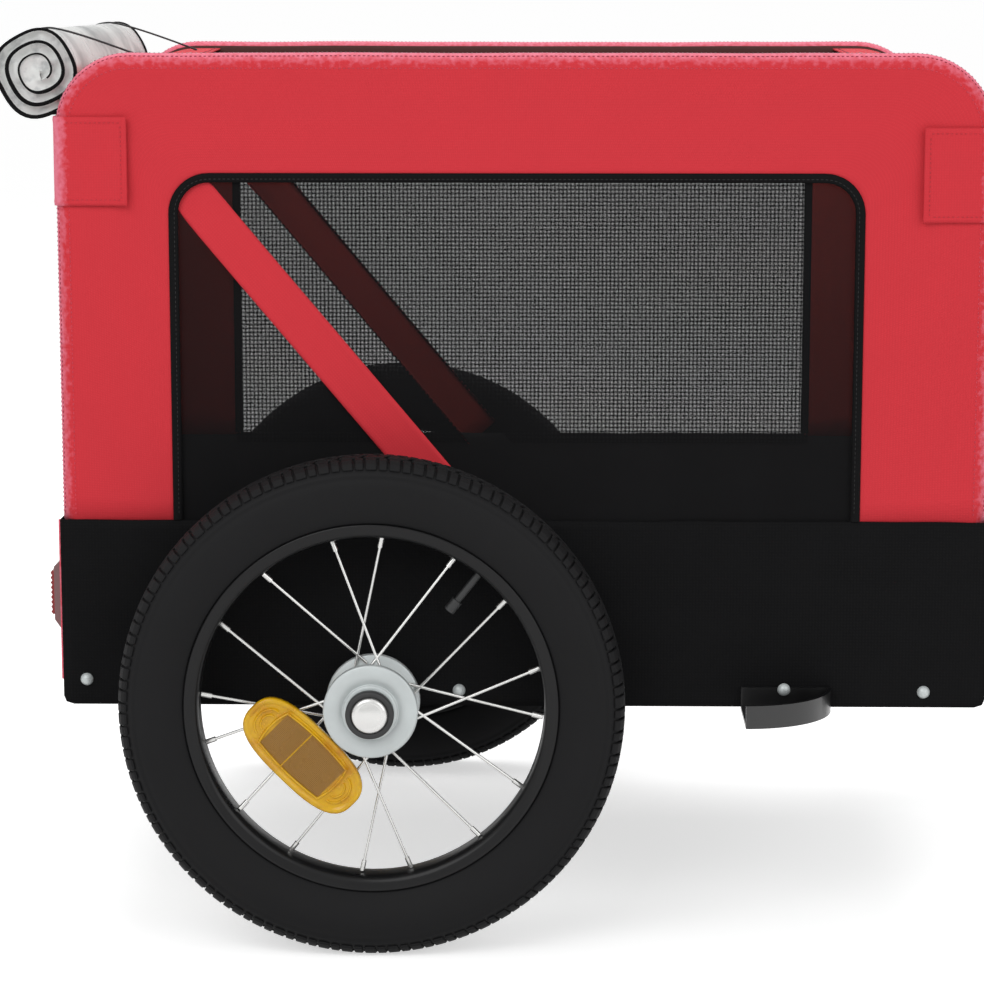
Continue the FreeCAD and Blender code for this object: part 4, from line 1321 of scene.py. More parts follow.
    def tab_rise(self, inwards: float, z: float) -> float:
        """How far a tab's free end stands off the panel at a place on it."""
        free = max(0.0, 1 - (self.tab_length - inwards) / self.tab_free)
        return self.tab_lift * free ** 2 * (1 - self.tab_wave_share * (1 - math.sin(z * self.tab_waves)))

    def tab_path(self) -> Outline:
        """A tab's run as distances inwards and out: along the side, round the corner and along the end."""
        face, bend = self.tab_face, self.tab_bend
        path = [(self.tab_length - d, face) for d in steps(0, self.tab_length - self.tab_inset - bend, 22)]
        for angle in steps(0, 90, 6)[1:]:
            turn = math.radians(angle)
            path.append((self.tab_inset + bend - bend * math.sin(turn), face - bend + bend * math.cos(turn)))
        across = steps(face - bend, self.cabin.half - self.tab_return, 14)[1:]
        return path + [(self.tab_inset, y) for y in across]

    def build_tabs(self) -> None:
        """Two red tabs bent round the upright corners, with sewn borders."""
        node = f"{self.end.word}_tabs"
        low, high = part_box(node)
        for side in Side:
            rows, wear_sheen_shares = [], []
            for inwards, out in self.tab_path():
                on_end, on_side = inwards < self.tab_inset + MERGE, out > self.tab_face - MERGE
                column = []
                for z in steps(low.z, high.z, 25):
                    rim = min(z - low.z, high.z - z, self.tab_length - inwards)
                    hem = self.tab_hem_rise * max(0.0, 1 - abs(rim - self.tab_hem_in) / self.tab_hem_half)
                    away = self.tab_ripple.at(Vector((inwards, out, z))) + hem + self.tab_rise(inwards, z)
                    x = self.cabin.end_x(self.end, inwards - (away if on_end else 0.0))
                    column.append(side.at(x, out + (away if on_side else 0.0), z))
                rows.append(column)
                # Edge colour round the tab's bend: wear with a painted sheen highlight on the rounded corner.
                wear_sheen_shares.append(held(self.tab_fade - (inwards - self.tab_fade_from) / self.tab_fade_run))
            piece = cloth_piece(f"{self.end.word}_tab_{side.word}", rows, [Finish.RED_CLOTH], self.body,
                                self.tab_cloth, side.outward + self.outward, wear_sheen_shares)
            if side is Side.RIGHT:
                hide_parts(node)
            self.build_tab_stitches(side, low.z + self.tab_seam, high.z - self.tab_seam)

    def build_tab_stitches(self, side: Side, low: float, top: float) -> None:
        """Stitches along a tab's three sewn edges on the side face.

        Args:
            side: The tab's side.
            low, top: Heights of the level seams.
        """
        out = self.tab_face + self.tab_seam_proud
        far, near = self.tab_length - self.tab_seam, self.tab_bend
        corners = [(near, low), (far, low), (far, top), (near, top)]
        lines = []
        for (d0, z0), (d1, z1) in zip(corners, corners[1:]):
            line = []
            for share in steps(0, 1, 12):
                inwards, z = d0 + (d1 - d0) * share, z0 + (z1 - z0) * share
                x = self.cabin.end_x(self.end, inwards)
                line.append(side.at(x, out + self.tab_rise(inwards, z), z))
            lines.append(level_line(line, side.outward))
        stitches(f"{self.end.word}_tab_stitches_{side.word}", lines, self.body, Finish.TAB_THREAD,
                 width=self.tab_thread)

    def build_lower(self) -> None:
        """Black lower panel across the end."""
        node = f"tub_{self.end.word}"
        low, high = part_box(node)
        face = self.cabin.end_x(self.end, 0.0)
        rows = []
        for z in steps(low.z, high.z, 17):
            calm = math.sin(math.pi * (z - low.z) / (high.z - low.z))
            row = []
            for y in steps(low.y, high.y, 61):
                sunk = (self.lower_dish + self.lower_ripple.at(Vector((0, y, z)))) * calm
                row.append(Vector((face + self.end.value * sunk, y, z)))
            rows.append(row)
        piece = cloth_piece(f"{self.end.word}_black_panel", rows, [Finish.BLACK_CLOTH], "chassis", self.cloth,
                            self.outward)
        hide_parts(node)
        lines = []
        x = face - self.end.value * self.thread_proud
        for z in (high.z - self.lower_seam, low.z + self.lower_seam):
            line = [Vector((x, y, z)) for y in steps(low.y + self.lower_seam, high.y - self.lower_seam, 50)]
            lines.append(level_line(line, self.outward))
        stitches(f"{self.end.word}_black_stitches", lines, "chassis", Finish.BLACK_THREAD, width=FINE_THREAD)

    def build_corner(self) -> None:
        """Red cloth over the top corner, from hoop to hoop, ending in a hem."""
        radius = self.cabin.rear_corner if self.end is End.REAR else self.cabin.front_corner
        middle_x, middle_z = self.cabin.end_x(self.end, radius), self.cabin.top - radius
        small = radius - self.corner_drop
        start = math.asin((radius - self.corner_start) / small)
        path = []
        for angle in steps(start, math.pi / 2, 14):
            back = self.end.value * small * math.cos(angle)
            path.append((middle_x - back, middle_z + small * math.sin(angle)))
        for reach in steps(0, self.corner_reach, 7)[1:]:
            path.append((middle_x + self.end.value * reach, middle_z + small))
        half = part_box("corner_cloths")[1].y
        rows, wear_sheen_shares = [], []
        for i, (x, z) in enumerate(path):
            hang = self.corner_hang * i / (len(path) - 1)
            row = []
            for y in steps(-half, half, 49):
                crease = self.corner_ripple.at(Vector((x, y, z))) * (1 - (y / half) ** 8)
                row.append(Vector((x, y, z - hang * (1 - (y / half) ** 2) + crease)))
            rows.append(row)
            # Edge colour: the first rows pale more, by wear with a painted sheen highlight on that edge.
            wear_sheen_shares.append(self.corner_hem_fade if i < 2 else self.corner_fade)
        piece = cloth_piece(f"{self.end.word}_corner_cloth", rows, RED_SHEET, "chassis", self.cloth,
                            self.outward + UP, wear_sheen_shares)
        if self.end is End.REAR:
            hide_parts("corner_cloths")
        length = running([row[0] for row in rows])[-1]
        line = [point + UP * self.corner_thread_proud for point in rows[-2]]
        stitches(f"{self.end.word}_corner_stitches", [level_line(line, UP)], "chassis", Finish.RED_THREAD)

    def build(self) -> None:
        """Builds every piece of the end."""
        self.build_lower()
        self.build_flap()
        self.build_net()
        self.build_tabs()
        self.build_corner()


@dataclass
class CoverRoll:
    """Clear cover rolled up along the rear top corner, its black binding and the two ties."""

    core: float = 7.5 * MM
    outer: float = 32.0 * MM
    turns: float = 3.05
    finish_turn: float = 304.0
    squareness: float = 0.05
    square_turn: float = 75.0
    square_core: float = 0.3
    raise_up: float = 5.0 * MM
    forward: float = 1.0 * MM
    film: float = 0.5 * MM
    film_ripple: Ripple = Ripple(30 * MM, 0.5 * MM)
    end_inset: float = 19 * MM
    binding_half: float = 1.2 * MM
    binding_depth: float = 5 * MM
    binding_proud: float = 0.6 * MM
    binding_start: float = 0.03
    binding_full: float = 0.28
    binding_full_run: float = 0.05
    binding_swell: float = 0.3
    binding_phase: float = 0.6
    fold_sunk: float = 1.6 * MM
    fold_hollow: float = 3 * MM
    fold_ripple: Ripple = Ripple(6 * MM, 3 * MM)
    tie_out: float = 150 * MM
    tie_squeeze: float = 0.9 * MM
    tie_reach: float = 10 * MM
    tie_r: float = 0.75 * MM
    middle: Vector = field(default_factory=Vector)
    half: float = 0.0

    def __post_init__(self) -> None:
        """Reads the roll's place from the frame."""
        low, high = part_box("cover_roll")
        self.middle = (low + high) / 2 + Vector((self.forward, 0, self.raise_up))
        self.half = high.y - self.end_inset

    def spiral(self, share: float, y: float, shift: float = 0.0) -> Vector:
        """Point of the rolled sheet.

        Args:
            share: Share of the way from the core to the free edge.
            y: Place along the roll.
            shift: Distance out from the sheet's middle.

        Returns:
            The point.
        """
        angle = math.radians(self.finish_turn) - (1 - share) * self.turns * 2 * math.pi
        heading = Vector((math.cos(angle), 0, math.sin(angle)))
        size = self.core + (self.outer - self.core) * share
        corners = math.cos(4 * (angle - math.radians(self.square_turn)))
        square = 1 + self.squareness * (self.square_core + (1 - self.square_core) * share) * corners
        squeeze = sum(math.exp(-((y - tie) / self.tie_reach) ** 2) for tie in (-self.tie_out, self.tie_out))
        crumple = self.film_ripple.at(Vector((y, size * heading.x, size * heading.z)))
        reach = size * square + shift + (crumple - squeeze * self.tie_squeeze) * share
        return Vector((self.middle.x, y, self.middle.z)) + heading * reach

    def build_film(self) -> None:
        """The clear sheet, wound about three times."""
        rows = []
        for share in steps(0, 1, 110):
            rows.append([self.spiral(share, y) for y in steps(-self.half, self.half, 61)])
        piece = cloth_piece("clear_cover_roll", rows, [Finish.CLEAR_COVER], "chassis", self.film)
        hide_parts("cover_roll")
        length = running([row[0] for row in rows])[-1]
        ends = [make(side) for side in Side for make in (self.build_binding, self.build_lit_folds)]

    def build_binding(self, side: Side) -> Piece:
        """Black binding on one end of the sheet, thinner towards the core.

        Args:
            side: The roll's end.

        Returns:
            The piece.
        """
        inner = [(0.0, 0.7), (0.0, -0.7), (0.12, -1.0), (1.0, -0.8)]
        rows = []
        for depth, level in inner + [(1.0, 0.8), (0.12, 1.0)] + inner[:1]:
            y = side.value * (self.half + self.binding_proud - depth * self.binding_depth)
            row = []
            for share in steps(self.binding_start, 1.0, 150):
                full = held((share - self.binding_full) / self.binding_full_run)
                wound = share * self.turns * 2 * math.pi
                swell = 1 + self.binding_swell * math.cos(wound + self.binding_phase)
                row.append(self.spiral(share, y, level * self.binding_half * (1 + full * swell) / 2))
            rows.append(row)
        return mesh_piece(f"roll_binding_{side.word}", grid_of_rows(rows), [Finish.BLACK_TAPE], "chassis")

    def build_lit_folds(self, side: Side) -> Piece:
        """Crumpled film between the turns at one end of the roll, opaque and pale as painted light that
        passes through the film.

        Args:
            side: The roll's end.

        Returns:
            The piece.
        """
        end, turn = self.half * side.value, 1 / self.turns
        rows = []
        for across in steps(0.0, 1.0, 9):
            row = []
            for share in steps(-turn, 1 - turn, 130):
                inner = self.spiral(max(share, 0.0), end)
                if share < 0:
                    inner = self.middle.lerp(inner, 1 + share / turn)
                    inner.y = end
                spot = inner.lerp(self.spiral(share + turn, end), across)
                hollow = (self.fold_hollow + self.fold_ripple.at(spot)) * math.sin(math.pi * across)
                row.append(Vector((spot.x, end - side.value * (self.fold_sunk + hollow), spot.z)))
            rows.append(row)
        return cloth_piece(f"roll_folds_{side.word}", rows, [Finish.FILM_FOLDS], "chassis", self.film,
                           side.outward)

    def tie_curve(self, name: str, points: Row) -> bpy.types.Curve:
        """A round cord along control points.

        Args:
            name: The cord's name.
            points: Its control points.

        Returns:
            The curve.
        """
        curve = bpy.data.curves.new(name, "CURVE")
        curve.dimensions = "3D"
        curve.bevel_depth = self.tie_r
        curve.bevel_resolution = 3
        curve.resolution_u = 12
        curve.use_fill_caps = True
        spline = curve.splines.new("NURBS")
        spline.points.add(len(points) - 1)
        for control, point in zip(spline.points, points):
            control.co = (*point, 1.0)
        spline.order_u = 3
        spline.use_endpoint_u = True
        curve.materials.append(Finish.CORD.material())
        return curve

    def length_of(self, curve: bpy.types.Curve) -> float:
        """Length of a cord, measured along a copy of its bare line.

        Args:
            curve: The cord.

        Returns:
            The length.
        """
        bare = curve.copy()
        bare.bevel_depth = 0.0
        line = bpy.data.meshes.new_from_object(bpy.data.objects.new("tie_line", bare))
        return running([v.co for v in line.vertices])[-1]

    def build_ties(self) -> None:
        """Thin cords from the corner cloth's top, over the roll and back under it."""
        c = self.middle
        route = [(71.5, 6.6), (12.0, 29.0), (-10.9, 27.6), (-29.6, 12.6), (-29.0, -11.8), (-13.4, -31.8),
                 (4.0, -32.0), (18.4, -30.2)]
        for side in Side:
            points = [side.at(c.x + x * MM, self.tie_out, c.z + z * MM) for x, z in route]
            curve = self.tie_curve(f"roll_tie_{side.word}", points)
            tie = add_object(curve.name, curve)
            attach(tie, "chassis")
            Finish.CORD.slot
            if side is Side.RIGHT:
                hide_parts("roll_ties")
            length = self.length_of(curve)
            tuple(points[0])
            log.info("%s: cord %.1f mm long", tie.name, length / MM)

    def build(self) -> None:
        """Builds the roll."""
        self.build_film()
        self.build_ties()


# Wheels and reflectors

@dataclass
class Wheel:
    """One wheel: tyre with tread, rim, hub, and the amber reflector clipped to its spokes."""

    side: Side
    axle: Vector = field(default_factory=Vector)
    lugs: int = 66
    lug_round: float = 0.5 * MM
    turns: int = 132
    hub_turns: int = 72
    release_turns: int = 64

    def __post_init__(self) -> None:
        """Reads the wheel's middle from the frame."""
        low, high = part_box(f"tyre_{self.side.word}")
        self.axle = (low + high) / 2

    @property
    def body(self) -> str:
        """The body that this wheel turns as."""
        return f"wheel_{self.side.word}"

    def at(self, radius: float, out: float, clock: float = 0.0) -> Vector:
        """A point of the wheel, in millimetres and at a clock angle in degrees from up."""
        turn = math.radians(clock)
        return self.axle + Vector((radius * MM * math.sin(turn), self.side.value * out * MM,
                                   radius * MM * math.cos(turn)))

    def lathe(self, name: str, profile: Outline, finish: Finish, body: str, turns: int) -> Piece:
        """A ring turned about the axle.

        Args:
            name: The piece's name.
            profile: Closed outline as radius and distance outwards, in millimetres.
            finish: Its finish.
            body: The body that it rides on.
            turns: Count of steps round.

        Returns:
            The piece.
        """
        bm = bmesh.new()
        verts = [bm.verts.new(self.at(radius, out)) for radius, out in profile]
        edges = [bm.edges.new(pair) for pair in zip(verts, verts[1:] + verts[:1])]
        bmesh.ops.spin(bm, geom=verts + edges, cent=self.axle, axis=(0, 1, 0), angle=2 * math.pi,
                       steps=turns, use_merge=True)
        bmesh.ops.remove_doubles(bm, verts=bm.verts, dist=MERGE)
        bmesh.ops.dissolve_degenerate(bm, dist=MERGE / 10, edges=bm.edges)
        return mesh_piece(name, bm, [finish], body)

    def build_tyre(self) -> None:
        """Tyre carcass with a shoulder rib, and tread blocks in four rows."""
        crown = [(173.4, 0.0), (173.1, 5.0), (172.2, 10.0), (170.4, 14.8), (167.9, 17.8), (166.2, 19.0)]
        rib = [(164.6, 20.4), (163.4, 20.8), (162.2, 20.5)]
        wall = [(160.5, 21.5), (157.0, 22.4), (152.6, 22.5), (147.5, 21.8), (142.0, 20.0), (137.0, 17.7),
                (133.0, 15.5)]
        bead = [(130.6, 14.0), (129.6, 13.0), (128.6, 11.3), (124.6, 10.5), (123.0, 9.4), (124.0, 7.6)]
        inside = [(129.0, 7.4), (136.0, 9.6), (143.0, 14.2), (150.0, 17.9), (157.0, 18.3), (163.0, 13.4),
                  (166.8, 6.0)]
        half = crown + rib + wall + bead + inside
        whole = half + [(167.6, 0.0)] + mirrored(half[1:])
        tyre = self.lathe(f"tyre_carcass_{self.side.word}", whole, Finish.TYRE, self.body, self.turns)
        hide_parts(f"tyre_{self.side.word}")
        shoulder = [(174.5, 9.0), (173.6, 13.2), (171.6, 16.8), (169.2, 18.9), (167.6, 19.4), (167.0, 17.6),
                    (169.4, 13.0), (171.0, 8.6)]
        middle = [(174.95, 0.7), (174.8, 3.4), (174.5, 7.2), (170.0, 7.0), (171.0, 0.9)]
        bm = bmesh.new()
        pitch = 360 / self.lugs
        for section, spread, slant, mirror, shift in (
                (shoulder, 0.46, 0.10, 1, 0.0), (shoulder, 0.34, 0.10, 1, 0.5),
                (shoulder, 0.46, 0.10, -1, 0.25), (shoulder, 0.34, 0.10, -1, 0.75),
                (middle, 0.84, -0.22, 1, 0.35), (middle, 0.84, -0.22, -1, 0.85)):
            for k in range(self.lugs):
                self.add_lug(bm, section, (k + shift) * pitch, spread * pitch, slant * pitch, mirror)
        tread = mesh_piece(f"tyre_tread_{self.side.word}", bm, [Finish.TYRE], self.body, smooth=False)
        round_edges(tread, self.lug_round)

    def add_lug(self, bm: BMesh, section: Outline, clock: float, spread: float, slant: float,
                mirror: int) -> None:
        """One tread block: its outline extruded round the wheel, slanted from edge to edge.

        Args:
            bm: The mesh that it is added to.
            section: Its outline as radius and distance outwards, in millimetres.
            clock: Clock angle of its middle.
            spread: Angle that it covers.
            slant: Angle that its outer edge runs ahead by.
            mirror: 1 for the outer half of the tyre, -1 for the inner half.
        """
        widest = max(out for _, out in section)
        ring = []
        for radius, out in section:
            lean = slant * out / widest
            ring.append(bm.verts.new(self.at(radius, out * mirror, clock - spread / 2 + lean)))
        grown = bmesh.ops.extrude_face_region(bm, geom=[bm.faces.new(ring)])["geom"]
        bmesh.ops.rotate(bm, verts=of_kind(grown, bmesh.types.BMVert), cent=self.axle,
                         matrix=Matrix.Rotation(math.radians(spread), 3, "Y"))

    def build_rim(self) -> None:
        """Black rim: a channel with rolled lips and a rounded well."""
        lip = [(129.2, 13.0), (129.0, 13.9), (128.0, 14.3), (126.8, 13.9), (125.4, 13.5), (123.4, 13.2)]
        well = [(121.6, 12.4), (120.2, 11.0), (119.3, 9.0), (119.0, 6.0)]
        inner = [(121.1, 6.0), (121.6, 8.6), (122.6, 10.2), (124.2, 11.2), (127.0, 11.6), (128.8, 12.1)]
        outer = lip + well
        whole = outer + [(118.9, 0.0)] + mirrored(outer) + mirrored(inner) + [(121.0, 0.0)] + inner
        rim = self.lathe(f"rim_ring_{self.side.word}", whole, Finish.RIM, self.body, self.turns)
        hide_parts(f"rim_{self.side.word}")

    def build_hub(self) -> None:
        """Zinc hub: two pressed flanges on a barrel, with bosses at the ends."""
        barrel = [(15.0, 12.6), (16.4, 14.0), (18.0, 14.5)]
        flange = [(31.6, 14.5), (32.4, 15.1), (32.6, 16.0), (32.6, 19.0), (32.3, 20.0), (31.4, 20.5),
                  (20.0, 20.5)]
        boss = [(19.6, 20.2), (19.1, 20.2), (18.8, 20.6), (18.6, 21.6), (18.0, 22.0), (11.05, 22.0)]
        half = barrel + flange + boss
        whole = [(15.0, 0.0)] + half + mirrored(half)
        hub = self.lathe(f"hub_shell_{self.side.word}", whole, Finish.ZINC, self.body, self.hub_turns)
        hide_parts(f"hub_{self.side.word}")

    def build_release(self) -> None:
        """Black collar and bright domed button on the axle's end."""
        turns, word = self.release_turns, self.side.word
        collar = [(16.2, 25.1), (16.6, 25.6), (16.6, 30.6), (16.0, 31.4), (14.6, 31.6), (13.2, 31.3),
                  (12.6, 30.7), (12.6, 25.1)]
        piece = self.lathe(f"axle_collar_{word}", collar, Finish.RUBBER, "chassis", turns)
        if self.side is Side.RIGHT:
            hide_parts("axle_collars")
        dome = [(0.0, 34.5), (2.0, 34.48), (6.8, 34.2), (8.2, 33.7), (9.0, 33.6), (10.2, 33.6), (11.6, 32.9),
                (12.3, 31.8), (12.45, 30.6), (12.45, 29.4), (0.0, 29.4)]
        node = f"release_button_{word}"
        button = self.lathe(f"button_dome_{word}", dome, Finish.BRIGHT_STEEL, node, turns)
        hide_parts(node)

    def build(self) -> None:
        """Builds the wheel."""
        self.build_tyre()
        self.build_rim()
        self.build_hub()
        self.build_release()
        SpokeReflector(self).build()


@dataclass
class SpokeReflector:
    """Amber reflector: a rounded plate with a rim, a prism panel and moulded loops, in millimetres."""

    wheel: Wheel
    length: float = 97.0
    width: float = 44.5
    ring_r: float = 56.5
    clock: float = 236.0
    lift: float = 13.9
    tilt: float = 45.0
    corners: float = 2.9
    outline_points: int = 56
    back_inset: float = 1.2
    ridge_pitch: float = 1.0
    ridge_fill: float = 0.72
    ridge_half: float = 0.5
    ridge_level: float = 4.9
    panel_half: float = 27.5
    panel_split: float = -5.9
    panel_gap: float = 1.0
    panel_inset: float = 5.2
    panel_bow: float = 0.13
    rib_half: float = 0.8
    end_rib_half: float = 1.0
    end_rib_out: float = 30.4
    end_rib_reach: float = 15.0
    end_rib_bow: float = 2.6
    loop_out: float = 33.0
    loop_sizes: tuple[float, float] = (8.4, 4.8)
    loop_stretch: float = 1.25
    side_rib_out: float = 16.2
    side_rib_reach: float = 28.5
    side_rib_bow: float = 2.07936
    split_rib_half: float = 0.55
    split_rib_reach: float = 15.5

    @property
    def place(self) -> Matrix:
        """Matrix from the reflector's own axes, long, across and outwards, to the wheel, with its scale."""
        turn = math.radians(self.tilt)
        along = Vector((math.cos(turn), 0, -math.sin(turn)))
        up = Vector((math.sin(turn), 0, math.cos(turn)))
        axes = Matrix((along, up, self.wheel.side.outward)).transposed().to_4x4()
        middle = self.wheel.at(self.ring_r, self.lift, self.clock)
        return Matrix.Translation(middle) @ axes @ Matrix.Scale(MM, 4)

    def add(self, name: str, bm: BMesh, finish: Finish, smooth: bool = True) -> Piece:
        """Puts a mesh on the wheel as a piece.

        Args:
            name: The piece's name without its side.
            bm: The mesh, in the reflector's own axes.
            finish: Its finish.
            smooth: Whether its faces are shaded smooth.

        Returns:
            The piece.
        """
        bmesh.ops.transform(bm, matrix=self.place, verts=bm.verts)
        return mesh_piece(f"{name}_{self.wheel.side.word}", bm, [finish], self.wheel.body, smooth)

    def outline(self, inset: float) -> Outline:
        """Closed outline: bowed long edges and round ends, shrunk by an inset.

        Args:
            inset: The inset.

        Returns:
            The points.
        """
        half, wide = self.length / 2 - inset, self.width / 2 - inset
        points = []
        for k in range(self.outline_points):
            angle = 2 * math.pi * k / self.outline_points
            x, y = math.cos(angle), math.sin(angle)
            squash = (abs(x) ** self.corners + abs(y) ** self.corners) ** (-1 / self.corners)
            points.append((x * squash * half, y * squash * wide))
        return points

    def build_shell(self) -> None:
        """Plate with a raised rim, extruded level by level from its back."""
        bm = bmesh.new()
        ring = [bm.verts.new((x, y, 0)) for x, y in self.outline(self.back_inset)]
        bm.faces.new(ring)
        edges = list(bm.edges)
        rim = [(0.0, 0.0), (0.0, 4.4), (0.6, 5.4), (1.6, 6.0), (2.8, 5.8), (3.6, 5.0), (4.4, 4.6)]
        for inset, level in rim:
            grown = bmesh.ops.extrude_edge_only(bm, edges=edges)["geom"]
            edges = of_kind(grown, bmesh.types.BMEdge)
            above = {}
            for vert in of_kind(grown, bmesh.types.BMVert):
                ends = (edge.other_vert(vert) for edge in vert.link_edges)
                above[next(end for end in ends if end in ring)] = vert
            ring = [above[vert] for vert in ring]
            for vert, (x, y) in zip(ring, self.outline(inset)):
                vert.co = (x, y, level)
        bm.faces.new(ring)
        shell = self.add("reflector_shell", bm, Finish.AMBER)
        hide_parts(f"spoke_reflector_{self.wheel.side.word}")

    def build_panel(self) -> None:
        """Darker prism panel in two parts, split by a light line, with fine ridges."""
        bm = bmesh.new()
        split, gap = self.panel_split, self.panel_gap / 2
        for low, high in ((-self.panel_half, split - gap), (split + gap, self.panel_half)):
            count = int((high - low) / self.ridge_pitch)
            slim = (high - low) / count
            for k in range(count):
                x = low + slim * (k + 0.5)
                tall = self.width - 2 * self.panel_inset - abs(x) * self.panel_bow
                size = (self.ridge_fill * slim, tall * math.sqrt(0.5), self.ridge_half)
                spot = Matrix.Translation((x, 0, self.ridge_level)) @ Matrix.Diagonal(size).to_4x4()
                bmesh.ops.create_cone(bm, cap_ends=True, segments=4, radius1=1.0, radius2=0.8, depth=2.0,
                                      matrix=spot @ Matrix.Rotation(math.pi / 4, 4, "Z"))
        self.add("reflector_panel", bm, Finish.AMBER_PANEL, smooth=False)

    def rib(self, points: Outline, size: float) -> BMesh:
        """One raised rib on the shell's face.

        Args:
            points: The rib's middle line.
            size: Half its width.

        Returns:
            The rib's mesh.
        """
        line = [Vector((x, y, 0)) for x, y in points]
        rows = []
        for across, level in ((-1.0, 4.2), (-0.8, 5.6), (0.0, 6.2), (0.8, 5.6), (1.0, 4.2)):
            row = []
            for i, spot in enumerate(line):
                heading = (line[min(i + 1, len(line) - 1)] - line[max(i - 1, 0)]).normalized()
                row.append(spot + Vector((-heading.y, heading.x, 0)) * (across * size) + UP * level)
            rows.append(row)
        return grid_of_rows(rows)

    def build_ribs(self) -> None:
        """Raised ribs round the panel and curved loops at both ends."""
        bm = bmesh.new()
        turns = [math.radians(angle) for angle in steps(0, 180, 13)]
        for end in (-1, 1):
            bow = []
            for share in steps(-1.0, 1.0, 9):
                out = self.end_rib_out - self.end_rib_bow * share ** 2
                bow.append((end * out, share * self.end_rib_reach))
            absorb(bm, self.rib(bow, self.end_rib_half))
            for size in self.loop_sizes:
                tall = size * self.loop_stretch
                loop = [(end * (self.loop_out + size * math.sin(t)), tall * math.cos(t)) for t in turns]
                absorb(bm, self.rib(loop, self.rib_half))
        for side in (-1, 1):
            run = []
            for share in steps(-1.0, 1.0, 11):
                out = self.side_rib_out - self.side_rib_bow * share ** 2
                run.append((share * self.side_rib_reach, side * out))
            absorb(bm, self.rib(run, self.rib_half))
        split = [(self.panel_split, y) for y in steps(-self.split_rib_reach, self.split_rib_reach, 5)]
        absorb(bm, self.rib(split, self.split_rib_half))
        self.add("reflector_ribs", bm, Finish.AMBER)

    def build(self) -> None:
        """Builds the shell, the panel and the ribs."""
        self.build_shell()
        self.build_panel()
        self.build_ribs()


@dataclass
class RearReflectors:
    """Red lenses with a zigzag of prisms, in the two housings at the rear."""

    ridge: float = 3.2 * MM
    rise: float = 1.1 * MM

    def build(self) -> None:
        """Builds one ridged lens on each side."""
        low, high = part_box("reflector_lenses")
        inner = min(v.co.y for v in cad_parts["reflector_lenses"].data.vertices if v.co.y > 0)
        count = int((high.z - low.z) / self.ridge) * 2
        heights = steps(low.z, high.z, count + 1)
        zigzag = [(low.x + (0.0 if k % 2 else self.rise), z) for k, z in enumerate(heights)]
        back = (high.x, low.z)
        for side in Side:
            path = [back] + zigzag + [(high.x, high.z), back]
            bm = grid_of_rows([[side.at(x, high.y, z), side.at(x, inner, z)] for x, z in path])
            bmesh.ops.edgeloop_fill(bm, edges=[edge for edge in bm.edges if edge.is_boundary])
            piece = mesh_piece(f"rear_lens_{side.word}", bm, [Finish.RED_LENS], "chassis", smooth=False)
            if side is Side.RIGHT:
                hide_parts("reflector_lenses")


# Kept hardware and studio

class Hardware:
    """The CAD pieces that stay as they are, each with its finish."""

    FINISHES: dict[Finish, tuple[str, ...]] = {
        Finish.BLACK_STEEL: ("lower_rail_right", "lower_rail_left", "cross_rails", "side_hoop_right",
                             "side_hoop_left", "top_crossbars", "axle_tube", "tow_clevis", "tow_arm",
                             "hitch_fork"),
        Finish.SHOE_STEEL: ("corner_shoe",),
        Finish.BOARD: ("floor_board",),
        Finish.ZINC: ("frame_bolts", "axle_sockets", "axle_pins", "clevis_pin", "hitch_pin"),
        Finish.BRIGHT_STEEL: ("spokes_right", "spokes_left", "bearings_right", "bearings_left",
                              "hitch_tongue"),
        Finish.RUBBER: ("inner_tube_right", "inner_tube_left", "valve_right", "valve_left"),
        Finish.DARK_RED: ("reflector_housings",),
    }

    def dress(self) -> None:
        """Gives each kept CAD node its material."""
        for finish, nodes in self.FINISHES.items():
            for name in nodes:
                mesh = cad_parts[name].data
                mesh.materials.clear()
                mesh.materials.append(finish.material())
                log.info("%s: %s", name, finish.value[1].name)


@dataclass(frozen=True)
class Lamp:
    """One large soft lamp that shines on the trailer."""

    name: str
    place: tuple[float, float, float]
    size: float
    power: float
    aim: tuple[float, float, float] = (-0.25, 0.0, 0.35)

    def build(self) -> None:
        """Builds the lamp."""
        data = bpy.data.lights.new(self.name, "AREA")
        data.shape = "SQUARE"
        data.size = self.size
        data.energy = self.power
        lamp = add_object(self.name, data)
        lamp.location = self.place
        lamp.rotation_euler = (Vector(self.aim) - Vector(self.place)).to_track_quat("-Z", "Y").to_euler()


